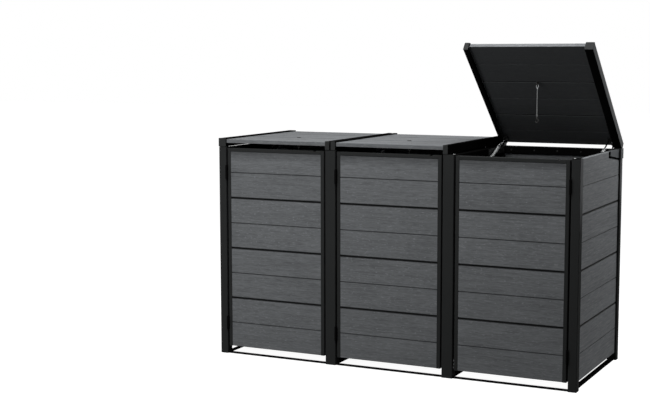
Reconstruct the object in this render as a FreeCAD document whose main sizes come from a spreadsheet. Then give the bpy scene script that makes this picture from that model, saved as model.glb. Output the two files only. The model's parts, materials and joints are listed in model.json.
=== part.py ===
"""Three-bay store for wheelie bins.

A frame of square steel tube stands on the ground. Grooved boards fill its sides and back,
each bay has a hinged door at the front and a hinged lid on top, two struts carry each lid,
and a short pull line hangs from each lid to lift the lid of the bin below it.

Lengths are in millimetres. X runs along the row of bays, Y from the doors to the back and
Z up from the ground. Everything is laid out from the front face of the front posts, and the
finished sub-parts are then moved so that the origin is the middle of the footprint.
The right-hand lid is made open, as it stands at rest; the other two are closed.
"""
import FreeCAD, Part
import Sketcher
import math
import os
import re

SIZES = {
    # bays and posts
    "bay_width": 620,
    "store_depth": 840,
    "post_height": 1175,
    "end_post_width": 45,
    "mid_post_width": 60,
    "front_post_depth": 50,
    "rear_post_depth": 45,
    "sleeve_thick": 3,
    "sleeve_height": 55,
    "tube_wall": 2,
    "tube_corner": 3,
    # rails of the frame
    "mid_base_bar_width": 54,
    "end_base_bar_width": 30,
    "base_bar_lift": 0,
    "base_bar_thick": 5,
    "base_rail_height": 26,
    "base_rail_lift": 2,
    "sill_depth": 20,
    "sill_height": 7.4,
    "sill_setback": 2,
    "top_rail_height": 40,
    "top_rail_drop": 3,
    "rear_rail_depth": 15,
    "rear_rail_drop": 4,
    "rear_foot_rail": 30,
    # boards
    "board_thick": 21,
    "board_pitch": 283.5,
    "board_gap": 5.5,
    "board_bevel": 1.5,
    "lowest_joint": 324.5,
    "tongue_setback": 11,
    "tongue_thick": 5,
    "tongue_reach": 7,
    "tongue_play": 0.4,
    "groove_width": 5,
    "groove_floor": 3,
    "groove_depth": 2.5,
    "wall_recess": 9,
    "wall_bottom": 42.7,
    "wall_drop": 2.5,
    # gussets in the rear corners of the side walls
    "gusset_length": 184,
    "gusset_front_height": 27.5,
    "gusset_rear_height": 52.5,
    "gusset_outline": 7,
    "foot_gusset_length": 142,
    "foot_gusset_thick": 4,
    # doors
    "door_gap": 9,
    "door_recess": 3,
    "door_bottom": 45,
    "door_drop": 5,
    "door_thick": 36,
    "stile_width": 20.5,
    "door_rail_height": 20,
    "door_board_recess": 1,
    "door_board_lift": 0.5,
    "back_bar_height": 30,
    "back_bar_thick": 3,
    "catch_from_side": 67,
    "catch_width": 14,
    "catch_depth": 5,
    # door hinges
    "pin_forward": 5.5,
    "pin_radius": 3,
    "pin_head_radius": 4.5,
    "pin_head_height": 2,
    "knuckle_radius": 6,
    "knuckle_length": 25,
    "knuckle_gap": 0.3,
    "leaf_thick": 2.5,
    "leaf_reach": 26,
    "low_hinge_up": 133,
    "high_hinge_down": 134,
    "running_play": 0.05,
    # lids
    "lid_lift": 3,
    "lid_rail_height": 46,
    "lid_side_gap": 10,
    "lid_play": 0.5,
    "lid_board_lift": 20,
    "lid_board_setback": 14,
    "cap_thick": 2.5,
    "cap_overhang": 1,
    "cap_round": 1.2,
    "rail_plug": 60,
    "hinge_setback": 25,
    "hinge_rise": 21,
    "open_angle": 40.5,
    "stop_gap": 1,
    # hinge plates and their pivot bolts
    "plate_thick": 3,
    "plate_low": 88,
    "plate_high": 26,
    "plate_bar": 36,
    "plate_front": 290,
    "plate_lug": 35,
    "neck_front": 36,
    "neck_rear": 27,
    "eye_radius": 14,
    "bolt_radius": 5,
    "bolt_reach": 18,
    "bolt_head_radius": 9,
    "bolt_head_height": 5,
    "notch_width": 12,
    "notch_play": 3,
    # struts
    "strut_inset": 14,
    "foot_forward": 274,
    "foot_down": 72,
    "arm_forward": 53,
    "arm_down": 12,
    "stud_radius": 4,
    "stud_head_radius": 10,
    "stud_head_height": 3,
    "stud_gap": 0.5,
    "strut_eye_thick": 12,
    "tube_radius": 8,
    "tube_eye_radius": 10,
    "tube_length": 125,
    "tube_start": 8,
    "tube_floor": 60,
    "gland_radius": 9.5,
    "gland_length": 10,
    "rod_radius": 4,
    "rod_start": 80,
    "rod_eye_radius": 11,
    "rod_eye_play": 3.5,
    # brackets under the lid rails
    "bracket_thick": 3,
    "bracket_lift": 1,
    "bracket_height": 17,
    "bracket_front": 195,
    "bracket_rear": 40,
    "bracket_bolt_radius": 4,
    "bracket_bolt_height": 2.5,
    "bracket_bolt_first": 184,
    "bracket_bolt_second": 127,
    "bracket_bolt_third": 107,
    # eye bolt through the lid
    "eye_bolt_back": 287,
    "eye_bolt_radius": 4,
    "eye_bolt_play": 0.2,
    "eye_cap_radius": 11.5,
    "eye_cap_height": 4,
    "eye_cap_round": 2.5,
    "washer_radius": 9,
    "washer_thick": 1.5,
    "eye_ring_radius": 8,
    "eye_ring_wire": 3,
    # pull line
    "link_radius": 8,
    "link_wire": 2,
    "link_play": 0.3,
    "ferrule_radius": 4.5,
    "ferrule_length": 7,
    "cord_radius": 2,
    "cord_length": 145,
    "hook_neck_radius": 4.5,
    "hook_neck_length": 14,
    "hook_radius": 9,
    "hook_wire": 2.5,
}

doc = FreeCAD.newDocument("bin_store")
sheet = doc.addObject("Spreadsheet::Sheet", "sizes")
for row, (alias, size) in enumerate(SIZES.items(), 1):
    sheet.set(f"A{row}", alias)
    sheet.set(f"B{row}", str(size))
    sheet.setAlias(f"B{row}", alias)
doc.recompute()

# Places that several pieces share, each worked out from the sheet
PITCH = "(bay_width + mid_post_width)"
REAR_POST_BACK = "(store_depth - sleeve_thick)"
REAR_POST_FRONT = f"({REAR_POST_BACK} - rear_post_depth)"
BASE_TOP = "(base_rail_lift + base_rail_height)"
BASE_BAR_TOP = "(base_bar_lift + base_bar_thick)"
RAIL_TOP = "(post_height - top_rail_drop)"
WALL_TOP = "(post_height - wall_drop)"
STORE_SIDE = "(1.5 * bay_width + mid_post_width + end_post_width)"
WALL_FACE = f"({STORE_SIDE} - wall_recess)"
WALL_BACK = f"({WALL_FACE} - board_thick)"
DOOR_TOP = "(post_height - door_drop)"
DOOR_HALF = "(bay_width / 2 - door_gap)"
PIN_FROM_SIDE = "(door_gap / 2)"
LID_LOW = "(post_height + lid_lift)"
LID_HIGH = f"({LID_LOW} + lid_rail_height)"
LID_BOARD_LOW = f"({LID_LOW} + lid_board_lift)"
LID_BOARD_HIGH = f"({LID_BOARD_LOW} + board_thick)"
LID_INNER_RAIL = "((mid_post_width - lid_side_gap) / 2)"
HINGE_Y = "(store_depth - hinge_setback)"
HINGE_Z = "(post_height + hinge_rise)"
RING_OUTER = "(eye_ring_radius + eye_ring_wire)"
RING_Z = f"({LID_BOARD_LOW} - washer_thick - {RING_OUTER})"

BAYS = {"left": -1, "middle": 0, "right": 1}
DOOR_HINGE_SIDE = {"left": -1, "middle": -1, "right": 1}
OPEN_BAY = "right"
AXES = {"x": (1, 0, 0), "y": (0, 1, 0), "z": (0, 0, 1)}
ALONG = {
    "x": FreeCAD.Rotation(FreeCAD.Vector(0, 1, 0), 90),
    "y": FreeCAD.Rotation(FreeCAD.Vector(1, 0, 0), -90),
    "z": FreeCAD.Rotation(),
}
TOP_EDGE_OF_CYLINDER = 3
nodes = []


def tie(text):
    """Turn an expression on size names into one on the sheet's cells."""
    return re.sub(r"[a-z_]+", lambda word: "sizes." + word[0] if word[0] in SIZES else word[0], text)


def value(text):
    """The number that an expression on size names gives now."""
    return float(sheet.evalExpression(text))


def centre(bay):
    return f"({BAYS[bay]} * {PITCH})"


def from_side(bay, side, near, far):
    """Low and high x of a band inside a bay, measured inwards from its left or right side."""
    if side > 0:
        return f"{centre(bay)} + bay_width / 2 - ({far})", f"{centre(bay)} + bay_width / 2 - ({near})"
    return f"{centre(bay)} - bay_width / 2 + ({near})", f"{centre(bay)} - bay_width / 2 + ({far})"


def bind_place(piece, x, y, z):
    for letter, text in zip("xyz", (x, y, z)):
        piece.setExpression(f"Placement.Base.{letter}", tie(text))


def block(name, x, y, z):
    """A box between a low and a high expression on each axis."""
    box = doc.addObject("Part::Box", name)
    for size, (low, high) in zip(("Length", "Width", "Height"), (x, y, z)):
        box.setExpression(size, tie(f"({high}) - ({low})"))
    bind_place(box, x[0], y[0], z[0])
    return box


def round_bar(name, axis, radius, length, x, y, z):
    """A cylinder that starts at x, y, z and runs along an axis."""
    bar = doc.addObject("Part::Cylinder", name)
    bar.setExpression("Radius", tie(radius))
    bar.setExpression("Height", tie(length))
    bar.Placement.Rotation = ALONG[axis]
    bind_place(bar, x, y, z)
    return bar


def ring(name, axis, radius, wire, x, y, z, turn=360):
    """A torus about an axis, or the part of it that a turn in degrees sweeps."""
    torus = doc.addObject("Part::Torus", name)
    torus.setExpression("Radius1", tie(radius))
    torus.setExpression("Radius2", tie(wire))
    torus.Angle3 = turn
    torus.Placement.Rotation = ALONG[axis]
    bind_place(torus, x, y, z)
    return torus


def fuse(name, *pieces):
    joined = doc.addObject("Part::MultiFuse", name)
    joined.Shapes = pieces
    return joined


def cut(name, base, *tools):
    """Take one or more tools out of a piece."""
    result = doc.addObject("Part::Cut", name)
    result.Base = base
    result.Tool = tools[0] if len(tools) == 1 else group(name + "_tools", tools)
    return result


def group(name, pieces):
    bundle = doc.addObject("Part::Compound", name)
    bundle.Links = list(pieces)
    return bundle


def box_edges(wanted):
    """Numbers of a box's edges for which wanted(middle, direction) holds, on a unit box."""
    unit = Part.makeBox(1, 1, 1)
    found = []
    for number, edge in enumerate(unit.Edges, 1):
        if wanted(edge.CenterOfMass, edge.tangentAt(0)):
            found.append(number)
    return found


def rounded(box, axis, radius):
    """Round the four long edges of a box that run along an axis."""
    size = value(radius)
    long_edges = box_edges(lambda middle, way: abs(way.dot(FreeCAD.Vector(AXES[axis]))) > 0.9)
    fillet = doc.addObject("Part::Fillet", box.Name + "_rounded")
    fillet.Base = box
    fillet.Edges = [(number, size, size) for number in long_edges]
    return fillet


def tube(name, axis, x, y, z, plug="tube_wall"):
    """A rectangular tube with rounded corners and closed ends; plug is the far end's thickness."""
    outer = rounded(block(name + "_outer", x, y, z), axis, "tube_corner")
    spans = []
    for letter, (low, high) in zip("xyz", (x, y, z)):
        far = plug if letter == axis else "tube_wall"
        spans.append((f"{low} + tube_wall", f"{high} - ({far})"))
    return cut(name, outer, block(name + "_inside", *spans))


def prism(name, points, length, placement):
    """A body padded from a closed outline in its own XY plane; points are pairs of expressions."""
    body = doc.addObject("PartDesign::Body", name)
    sketch = body.newObject("Sketcher::SketchObject", name + "_outline")
    plane = next(item for item in body.Origin.OriginFeatures if item.Role == "XY_Plane")
    sketch.AttachmentSupport = (plane, [""])
    sketch.MapMode = "FlatFace"
    places = [FreeCAD.Vector(value(u), value(v), 0) for u, v in points]
    sketch.addGeometry(
        [Part.LineSegment(start, end) for start, end in zip(places, places[1:] + places[:1])], False)
    rules = []
    for number, place in enumerate(places):
        rules.append(Sketcher.Constraint("Coincident", number, 2, (number + 1) % len(places), 1))
    for number, place in enumerate(places):
        rules.append(Sketcher.Constraint("DistanceX", -1, 1, number, 1, place.x))
        rules.append(Sketcher.Constraint("DistanceY", -1, 1, number, 1, place.y))
    sketch.addConstraint(rules)
    for number, (u, v) in enumerate(points):
        first = len(points) + 2 * number
        sketch.setExpression(f"Constraints[{first}]", tie(u))
        sketch.setExpression(f"Constraints[{first + 1}]", tie(v))
    pad = body.newObject("PartDesign::Pad", name + "_pad")
    pad.Profile = sketch
    pad.setExpression("Length", tie(length))
    body.Tip = pad
    turn, x, y, z = placement
    body.Placement.Rotation = turn
    bind_place(body, x, y, z)
    return body


def facing(inward, rising):
    """The turn that lays a profile's first axis into a board and its second up the wall."""
    first, second = FreeCAD.Vector(inward), FreeCAD.Vector(rising)
    third = first.cross(second)
    return FreeCAD.Rotation(first, second, third, "XYZ")


def sub_part(name, *pieces):
    """Gather the solids of one sub-part under its name."""
    node = group(name, pieces)
    node.Label = name
    nodes.append(node)
    return node


def board_outline(low, high, middle, grooved_foot, tongued_head):
    """Section of one board: depth from the show face against height up the wall.

    A board that ends before its middle has no centre grooves.
    """
    near = "tongue_setback"
    far = "tongue_setback + tongue_thick"
    foot = f"{low} + board_gap + tongue_reach"
    head = f"{high} + board_gap + tongue_reach - 1"
    outline = [("0", f"{low} + board_bevel"), ("board_bevel", low)]
    if grooved_foot:
        outline += [
            (f"{near} - tongue_play", low), (f"{near} - tongue_play", f"{foot} - board_gap"),
            (f"{far} + tongue_play", f"{foot} - board_gap"), (f"{far} + tongue_play", low)]
    outline += [("board_thick - board_bevel", low), ("board_thick", f"{low} + board_bevel")]
    centred = value(f"{high} - ({middle})") > value("groove_width + board_bevel")
    if centred:
        outline += [
            ("board_thick", f"{middle} - groove_width / 2"),
            ("board_thick - groove_depth", f"{middle} - groove_floor / 2"),
            ("board_thick - groove_depth", f"{middle} + groove_floor / 2"),
            ("board_thick", f"{middle} + groove_width / 2")]
    outline += [("board_thick", f"{high} - board_bevel"), ("board_thick - board_bevel", high)]
    if tongued_head:
        outline += [(far, high), (far, head), (near, head), (near, high)]
    outline += [("board_bevel", high), ("0", f"{high} - board_bevel")]
    if centred:
        outline += [
            ("0", f"{middle} + groove_width / 2"), ("groove_depth", f"{middle} + groove_floor / 2"),
            ("groove_depth", f"{middle} - groove_floor / 2"), ("0", f"{middle} - groove_width / 2")]
    return outline


def board_wall(name, low, high, first_joint, length, placement):
    """Boards that fill a wall from low to high, joined tongue in groove at each joint."""
    count = 0
    while value(f"{first_joint} + {count} * board_pitch") < value(high) - value("board_pitch") / 10:
        count += 1
    boards = []
    for number in range(count + 1):
        below = f"{first_joint} + {number - 1} * board_pitch"
        above = f"{first_joint} + {number} * board_pitch"
        foot = f"({below} + board_gap / 2)" if number > 0 else low
        head = f"({above} - board_gap / 2)" if number < count else high
        middle = f"({below} + board_pitch / 2)"
        outline = board_outline(foot, head, middle, number > 0, number < count)
        boards.append(prism(f"{name}_{number + 1}", outline, length, placement))
    return boards


def make_posts():
    """Eight posts, each closed at both ends."""
    places = {
        "left": (f"-{STORE_SIDE}", f"-{STORE_SIDE} + end_post_width"),
        "mid_left": (f"-{PITCH} / 2 - mid_post_width / 2", f"-{PITCH} / 2 + mid_post_width / 2"),
        "mid_right": (f"{PITCH} / 2 - mid_post_width / 2", f"{PITCH} / 2 + mid_post_width / 2"),
        "right": (f"{STORE_SIDE} - end_post_width", STORE_SIDE),
    }
    for place, x in places.items():
        front = tube(f"front_{place}", "z", x, ("0", "front_post_depth"), ("0", "post_height"))
        rear = tube(f"rear_{place}", "z", x, (REAR_POST_FRONT, REAR_POST_BACK), ("0", "post_height"))
        sub_part(f"post_front_{place}", front)
        sub_part(f"post_rear_{place}", rear)
    return places


def make_rails(posts):
    """Bars and rails between the posts, at the ground and under the lids, and the sill of each door."""
    run = ("front_post_depth", REAR_POST_FRONT)
    base, top, rear = [], [], []
    for place, (low, high) in posts.items():
        if place == "left":
            x, bar_x = (f"-{WALL_BACK}", high), (f"{high} - end_base_bar_width", high)
        elif place == "right":
            x, bar_x = (low, WALL_BACK), (low, f"{low} + end_base_bar_width")
        else:
            middle = f"(({low} + {high}) / 2)"
            x = (low, high)
            bar_x = (f"{middle} - mid_base_bar_width / 2", f"{middle} + mid_base_bar_width / 2")
        base.append(block(f"base_bar_{place}", bar_x, run, ("base_bar_lift", BASE_BAR_TOP)))
        top.append(tube(f"top_rail_{place}", "y", x, run, (f"{RAIL_TOP} - top_rail_height", RAIL_TOP)))
    sill_y = ("sill_setback", "sill_setback + sill_depth")
    sill_z = ("base_rail_lift", "base_rail_lift + sill_height")
    rear_y = (REAR_POST_FRONT, f"{REAR_POST_FRONT} + rear_rail_depth")
    rear_top = "(post_height - rear_rail_drop)"
    for bay in BAYS:
        x = (from_side(bay, -1, "0", "0")[0], from_side(bay, 1, "0", "0")[0])
        base.append(block(f"sill_{bay}", x, sill_y, sill_z))
        base.append(tube(f"rear_base_{bay}", "x", x, rear_y, ("base_rail_lift", BASE_TOP)))
        rear.append(tube(f"rear_top_{bay}", "x", x, rear_y, (f"{rear_top} - top_rail_height", rear_top)))
        rear.append(tube(f"rear_foot_{bay}", "x", x, rear_y, ("wall_bottom", "wall_bottom + rear_foot_rail")))
    gusset_y = (f"{REAR_POST_FRONT} - foot_gusset_length", REAR_POST_FRONT)
    gusset_back = f"({WALL_FACE} - foot_gusset_thick)"
    for side, x in (("left", (f"-{WALL_FACE}", f"-{gusset_back}")), ("right", (gusset_back, WALL_FACE))):
        base.append(block(f"foot_gusset_{side}", x, gusset_y, (BASE_BAR_TOP, "wall_bottom")))
    sub_part("base_rails", *base)
    sub_part("top_rails", *top)
    sub_part("rear_rails", *rear)


def make_gussets():
    """Plates in the upper rear corners of the side walls, and the sleeves round the rear post heads."""
    pieces = []
    for side, sign in (("left", "-"), ("right", "")):
        inner, outer = f"{sign}{WALL_BACK}", f"{sign}{WALL_FACE}"
        x = (outer, inner) if side == "left" else (inner, outer)
        outline = [
            (f"{REAR_POST_FRONT} - gusset_length", f"{WALL_TOP} - gusset_front_height"),
            (REAR_POST_FRONT, f"{WALL_TOP} - gusset_rear_height"),
            (REAR_POST_FRONT, WALL_TOP), (f"{REAR_POST_FRONT} - gusset_length", WALL_TOP)]
        upright = facing((0, 1, 0), (0, 0, 1))
        pieces.append(prism(f"gusset_{side}", outline, "board_thick", (upright, x[0], "0", "0")))
        post_inner, post_outer = f"{sign}({STORE_SIDE} - end_post_width)", f"{sign}{STORE_SIDE}"
        sleeve_outer = f"{sign}({STORE_SIDE} + sleeve_thick)"
        back_x = (sleeve_outer, post_inner) if side == "left" else (post_inner, sleeve_outer)
        side_x = (sleeve_outer, post_outer) if side == "left" else (post_outer, sleeve_outer)
        z = ("post_height - sleeve_height", "post_height")
        back = block(f"sleeve_back_{side}", back_x, (REAR_POST_BACK, "store_depth"), z)
        flank = block(f"sleeve_flank_{side}", side_x, (REAR_POST_FRONT, REAR_POST_BACK), z)
        pieces.append(fuse(f"sleeve_{side}", back, flank))
    sub_part("corner_gussets", *pieces)


def make_walls():
    """Boards of the two sides and of the back."""
    length = f"{REAR_POST_FRONT} - front_post_depth"
    notch = [
        (f"{REAR_POST_FRONT} - gusset_length - gusset_outline",
         f"{WALL_TOP} - gusset_front_height - gusset_outline"),
        (f"{REAR_POST_FRONT} + 1", f"{WALL_TOP} - gusset_rear_height - gusset_outline"),
        (f"{REAR_POST_FRONT} + 1", f"{WALL_TOP} + 1"),
        (f"{REAR_POST_FRONT} - gusset_length - gusset_outline", f"{WALL_TOP} + 1")]
    upright = facing((0, 1, 0), (0, 0, 1))
    sides = {
        "left": (facing((1, 0, 0), (0, 0, 1)), f"-{WALL_FACE}", REAR_POST_FRONT, f"-{WALL_FACE} - 1"),
        "right": (facing((-1, 0, 0), (0, 0, 1)), WALL_FACE, "front_post_depth", f"{WALL_BACK} - 1"),
    }
    for side, (turn, x, y, notch_x) in sides.items():
        boards = board_wall(
            f"side_board_{side}", "wall_bottom", WALL_TOP, "lowest_joint", length, (turn, x, y, "0"))
        pieces = []
        for number, board in enumerate(boards, 1):
            tool = prism(
                f"gusset_notch_{side}_{number}", notch, "board_thick + 2", (upright, notch_x, "0", "0"))
            pieces.append(cut(f"side_board_{side}_{number}_notched", board, tool))
        sub_part(f"side_boards_{side}", *pieces)
    rear_turn = facing((0, -1, 0), (0, 0, 1))
    rear_face = f"{REAR_POST_FRONT} + rear_rail_depth + board_thick"
    pieces = []
    for bay in BAYS:
        right = from_side(bay, 1, "0", "0")[0]
        pieces += board_wall(
            f"rear_board_{bay}", "wall_bottom", WALL_TOP, "lowest_joint", "bay_width",
            (rear_turn, right, rear_face, "0"))
    sub_part("rear_boards", *pieces)


def hinge_half(name, bay, side, pin_z, fixed):
    """One leaf of a door hinge with its knuckles: the outer two on the post, the middle one on the door."""
    total = "(3 * knuckle_length)"
    low = f"{pin_z} - {total} / 2"
    pin_x = from_side(bay, side, PIN_FROM_SIDE, PIN_FROM_SIDE)[0]
    near = "0" if fixed else "door_gap - leaf_thick"
    leaf_x = from_side(bay, side, near, f"{near} + leaf_thick")
    leaf = block(
        name + "_leaf", leaf_x, ("-pin_forward", "leaf_reach - pin_forward"), (low, f"{low} + {total}"))
    outer = [("0", "knuckle_length"), ("2 * knuckle_length", "knuckle_length")]
    middle = [("knuckle_length + knuckle_gap", "knuckle_length - 2 * knuckle_gap")]
    gap = [("knuckle_length", "knuckle_length")]
    ends = [("-1", "knuckle_length + 1 + knuckle_gap"),
            ("2 * knuckle_length - knuckle_gap", "knuckle_length + 1 + knuckle_gap")]
    knuckles, reliefs = (outer, gap) if fixed else (middle, ends)
    relief_tools = [
        round_bar(f"{name}_relief_{number}", "z", "knuckle_radius + knuckle_gap", length,
                  pin_x, "-pin_forward", f"{low} + {start}")
        for number, (start, length) in enumerate(reliefs)]
    relieved = cut(name + "_relieved", leaf, *relief_tools)
    barrels = [
        round_bar(f"{name}_knuckle_{number}", "z", "knuckle_radius", length,
                  pin_x, "-pin_forward", f"{low} + {start}")
        for number, (start, length) in enumerate(knuckles)]
    bore = round_bar(
        name + "_bore", "z", "pin_radius + running_play", f"{total} + 2", pin_x, "-pin_forward", f"{low} - 1")
    return cut(name, fuse(name + "_joined", relieved, *barrels), bore)


def hinge_pin(name, bay, side, pin_z):
    """Pin of a door hinge, with a head on top of the upper knuckle."""
    pin_x = from_side(bay, side, PIN_FROM_SIDE, PIN_FROM_SIDE)[0]
    low = f"{pin_z} - 1.5 * knuckle_length"
    stem = round_bar(name + "_stem", "z", "pin_radius", "3 * knuckle_length", pin_x, "-pin_forward", low)
    head = round_bar(name + "_head", "z", "pin_head_radius", "pin_head_height",
                     pin_x, "-pin_forward", f"{pin_z} + 1.5 * knuckle_length")
    return fuse(name, stem, head)


def make_doors():
    """Three doors: a welded frame round boards, hung on two hinges."""
    heights = {"low": "(door_bottom + low_hinge_up)", "high": f"({DOOR_TOP} - high_hinge_down)"}
    y = ("door_recess", "door_recess + door_thick")
    fixed_leaves = []
    for bay in BAYS:
        side = DOOR_HINGE_SIDE[bay]
        name = f"door_{bay}"
        board_left = f"{centre(bay)} - {DOOR_HALF} + stile_width"
        board_right = f"{centre(bay)} + {DOOR_HALF} - stile_width"
        stiles = [
            tube(f"{name}_stile_left", "z", (f"{centre(bay)} - {DOOR_HALF}", board_left), y,
                 ("door_bottom", DOOR_TOP)),
            tube(f"{name}_stile_right", "z", (board_right, f"{centre(bay)} + {DOOR_HALF}"), y,
                 ("door_bottom", DOOR_TOP))]
        catch = f"({centre(bay)} + bay_width / 2 - catch_from_side)"
        rail_z = (f"{DOOR_TOP} - door_rail_height", DOOR_TOP)
        plug = f"{board_right} - {catch} + catch_width"
        rail = tube(f"{name}_top", "x", (board_left, board_right), y, rail_z, plug)
        catch_x = (f"{catch} - catch_width / 2", f"{catch} + catch_width / 2")
        catch_slot = block(f"{name}_catch_slot", catch_x, ("door_recess - 1", "door_recess + door_thick + 1"),
                           (f"{DOOR_TOP} - catch_depth", f"{DOOR_TOP} + 1"))
        slotted = cut(f"{name}_top_slotted", rail, catch_slot)
        board_foot = "door_bottom + door_board_lift"
        back = "door_recess + door_board_recess + board_thick"
        bar = block(f"{name}_back_bar", (board_left, board_right), (back, f"{back} + back_bar_thick"),
                    (board_foot, f"{board_foot} + back_bar_height"))
        sub_part(f"{name}_frame", *stiles, slotted, bar)
        turn = facing((0, 1, 0), (0, 0, 1))
        boards = board_wall(
            f"{name}_board", board_foot, f"{DOOR_TOP} - door_rail_height", "lowest_joint",
            f"{board_right} - ({board_left})", (turn, board_left, "door_recess + door_board_recess", "0"))
        sub_part(f"{name}_boards", *boards)
        moving = []
        for place, height in heights.items():
            moving.append(hinge_half(f"{name}_{place}_moving", bay, side, height, False))
            fixed_leaves.append(hinge_half(f"{name}_{place}_fixed", bay, side, height, True))
            fixed_leaves.append(hinge_pin(f"{name}_{place}_pin", bay, side, height))
        sub_part(f"{name}_hinge_leaves", *moving)
    sub_part("door_hinge_pins", *fixed_leaves)


def make_hinge_plates():
    """Plates inside the top rails that carry each lid's pivot bolt and the foot of its strut."""
    foot_y, foot_z = f"({HINGE_Y} - foot_forward)", f"({HINGE_Z} - foot_down)"
    low, bar_top = f"({HINGE_Z} - plate_low)", f"({HINGE_Z} - plate_high)"
    bar_low = f"({bar_top} - plate_bar)"
    front = f"({HINGE_Y} - plate_front)"
    # the neck's two long edges run tangent to the eye
    tangents = []
    for start, turn in (("neck_rear", -1), ("neck_front", 1)):
        across, down = value(start), value("plate_high")
        reach = math.hypot(across, down)
        swing = math.asin(value("eye_radius") / reach)
        way = math.atan2(down, across) + turn * swing
        run = math.sqrt(reach ** 2 - value("eye_radius") ** 2)
        tangents.append((f"{HINGE_Y} - {start} + {run * math.cos(way)}",
                         f"{bar_top} + {run * math.sin(way)}"))
    outline = [
        (front, low), (f"{front} + plate_lug", low), (f"{front} + 2 * plate_lug", bar_low),
        (f"{HINGE_Y} - neck_rear", bar_low), (f"{HINGE_Y} - neck_rear", bar_top), tangents[0],
        (HINGE_Y, HINGE_Z), tangents[1], (f"{HINGE_Y} - neck_front", bar_top), (front, bar_top)]
    upright = facing((0, 1, 0), (0, 0, 1))
    pieces = []
    for bay in BAYS:
        for side, label in ((-1, "left"), (1, "right")):
            name = f"hinge_plate_{bay}_{label}"
            low_x, high_x = from_side(bay, side, "0", "plate_thick")
            flat = prism(name + "_flat", outline, "plate_thick", (upright, low_x, "0", "0"))
            eye = round_bar(name + "_eye", "x", "eye_radius", "plate_thick", low_x, HINGE_Y, HINGE_Z)
            bore = round_bar(name + "_bore", "x", "bolt_radius + running_play", "plate_thick + 2",
                             f"{low_x} - 1", HINGE_Y, HINGE_Z)
            stud_end = "strut_inset + strut_eye_thick / 2 + stud_gap"
            stud_x = from_side(bay, side, "plate_thick", stud_end)
            stud = round_bar(name + "_stud", "x", "stud_radius", f"{stud_end} - plate_thick",
                             stud_x[0], foot_y, foot_z)
            collar_end = "strut_inset - strut_eye_thick / 2 - stud_gap"
            collar_x = from_side(bay, side, "plate_thick", collar_end)
            collar = round_bar(name + "_collar", "x", "stud_radius + 2", f"{collar_end} - plate_thick",
                               collar_x[0], foot_y, foot_z)
            head_x = from_side(bay, side, stud_end, f"{stud_end} + stud_head_height")
            head = round_bar(name + "_stud_head", "x", "stud_head_radius - 2", "stud_head_height",
                             head_x[0], foot_y, foot_z)
            pieces.append(cut(name, fuse(name + "_welded", flat, eye, collar, stud, head), bore))
            shank_x = from_side(bay, side, "-lid_play - bolt_reach", "plate_thick")
            shank = round_bar(name + "_shank", "x", "bolt_radius", "lid_play + bolt_reach + plate_thick",
                              shank_x[0], HINGE_Y, HINGE_Z)
            bolt_head_x = from_side(bay, side, "plate_thick", "plate_thick + bolt_head_height")
            bolt_head = round_bar(name + "_bolt_head", "x", "bolt_head_radius", "bolt_head_height",
                                  bolt_head_x[0], HINGE_Y, HINGE_Z)
            pieces.append(fuse(name + "_bolt", shank, bolt_head))
    sub_part("lid_hinge_plates", *pieces)


def lid_rail(name, x, bore_x):
    """One side rail of a lid: hollow in front, solid at the pivot, its rear corner cut to stop the lid."""
    bar = tube(name + "_bar", "y", x, ("0", "store_depth"), (LID_LOW, LID_HIGH), "rail_plug")
    # at full opening this corner lies flat, a small gap above the head of the rear post
    angle = math.radians(value("open_angle"))
    drop = value("hinge_rise") - value("stop_gap")
    back, below = value("hinge_setback"), value(f"{HINGE_Z} - {LID_LOW}")
    start = (drop - below * math.cos(angle)) / math.sin(angle)
    end = (drop - back * math.sin(angle)) / math.cos(angle)
    outline = [
        (f"{HINGE_Y} + {start}", LID_LOW), (f"{HINGE_Y} + {start}", f"{LID_LOW} - 5"),
        ("store_depth + 5", f"{LID_LOW} - 5"), ("store_depth + 5", f"{HINGE_Z} - {end}"),
        ("store_depth", f"{HINGE_Z} - {end}")]
    upright = facing((0, 1, 0), (0, 0, 1))
    width = f"{x[1]} - ({x[0]}) + 2"
    corner = prism(name + "_corner", outline, width, (upright, f"{x[0]} - 1", "0", "0"))
    bore = round_bar(name + "_bore", "x", "bolt_radius + running_play", "bolt_reach + 2",
                     bore_x, HINGE_Y, HINGE_Z)
    return cut(name, bar, corner, bore)


def rail_cap(name, x):
    """Plastic cap over the front end of a lid rail."""
    span = (f"{x[0]} - cap_overhang", f"{x[1]} + cap_overhang")
    box = block(name + "_block", span, ("-cap_thick", "0"),
                (f"{LID_LOW} - cap_overhang", f"{LID_HIGH} + cap_overhang"))
    corner, lip = value("tube_corner + cap_overhang"), value("cap_round")
    cap = doc.addObject("Part::Fillet", name)
    cap.Base = box
    deep = box_edges(lambda middle, way: abs(way.y) > 0.9)
    front = box_edges(lambda middle, way: abs(way.y) < 0.1 and middle.y < 0.1)
    cap.Edges = [(number, corner, corner) for number in deep] + [(number, lip, lip) for number in front]
    return cap


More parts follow.
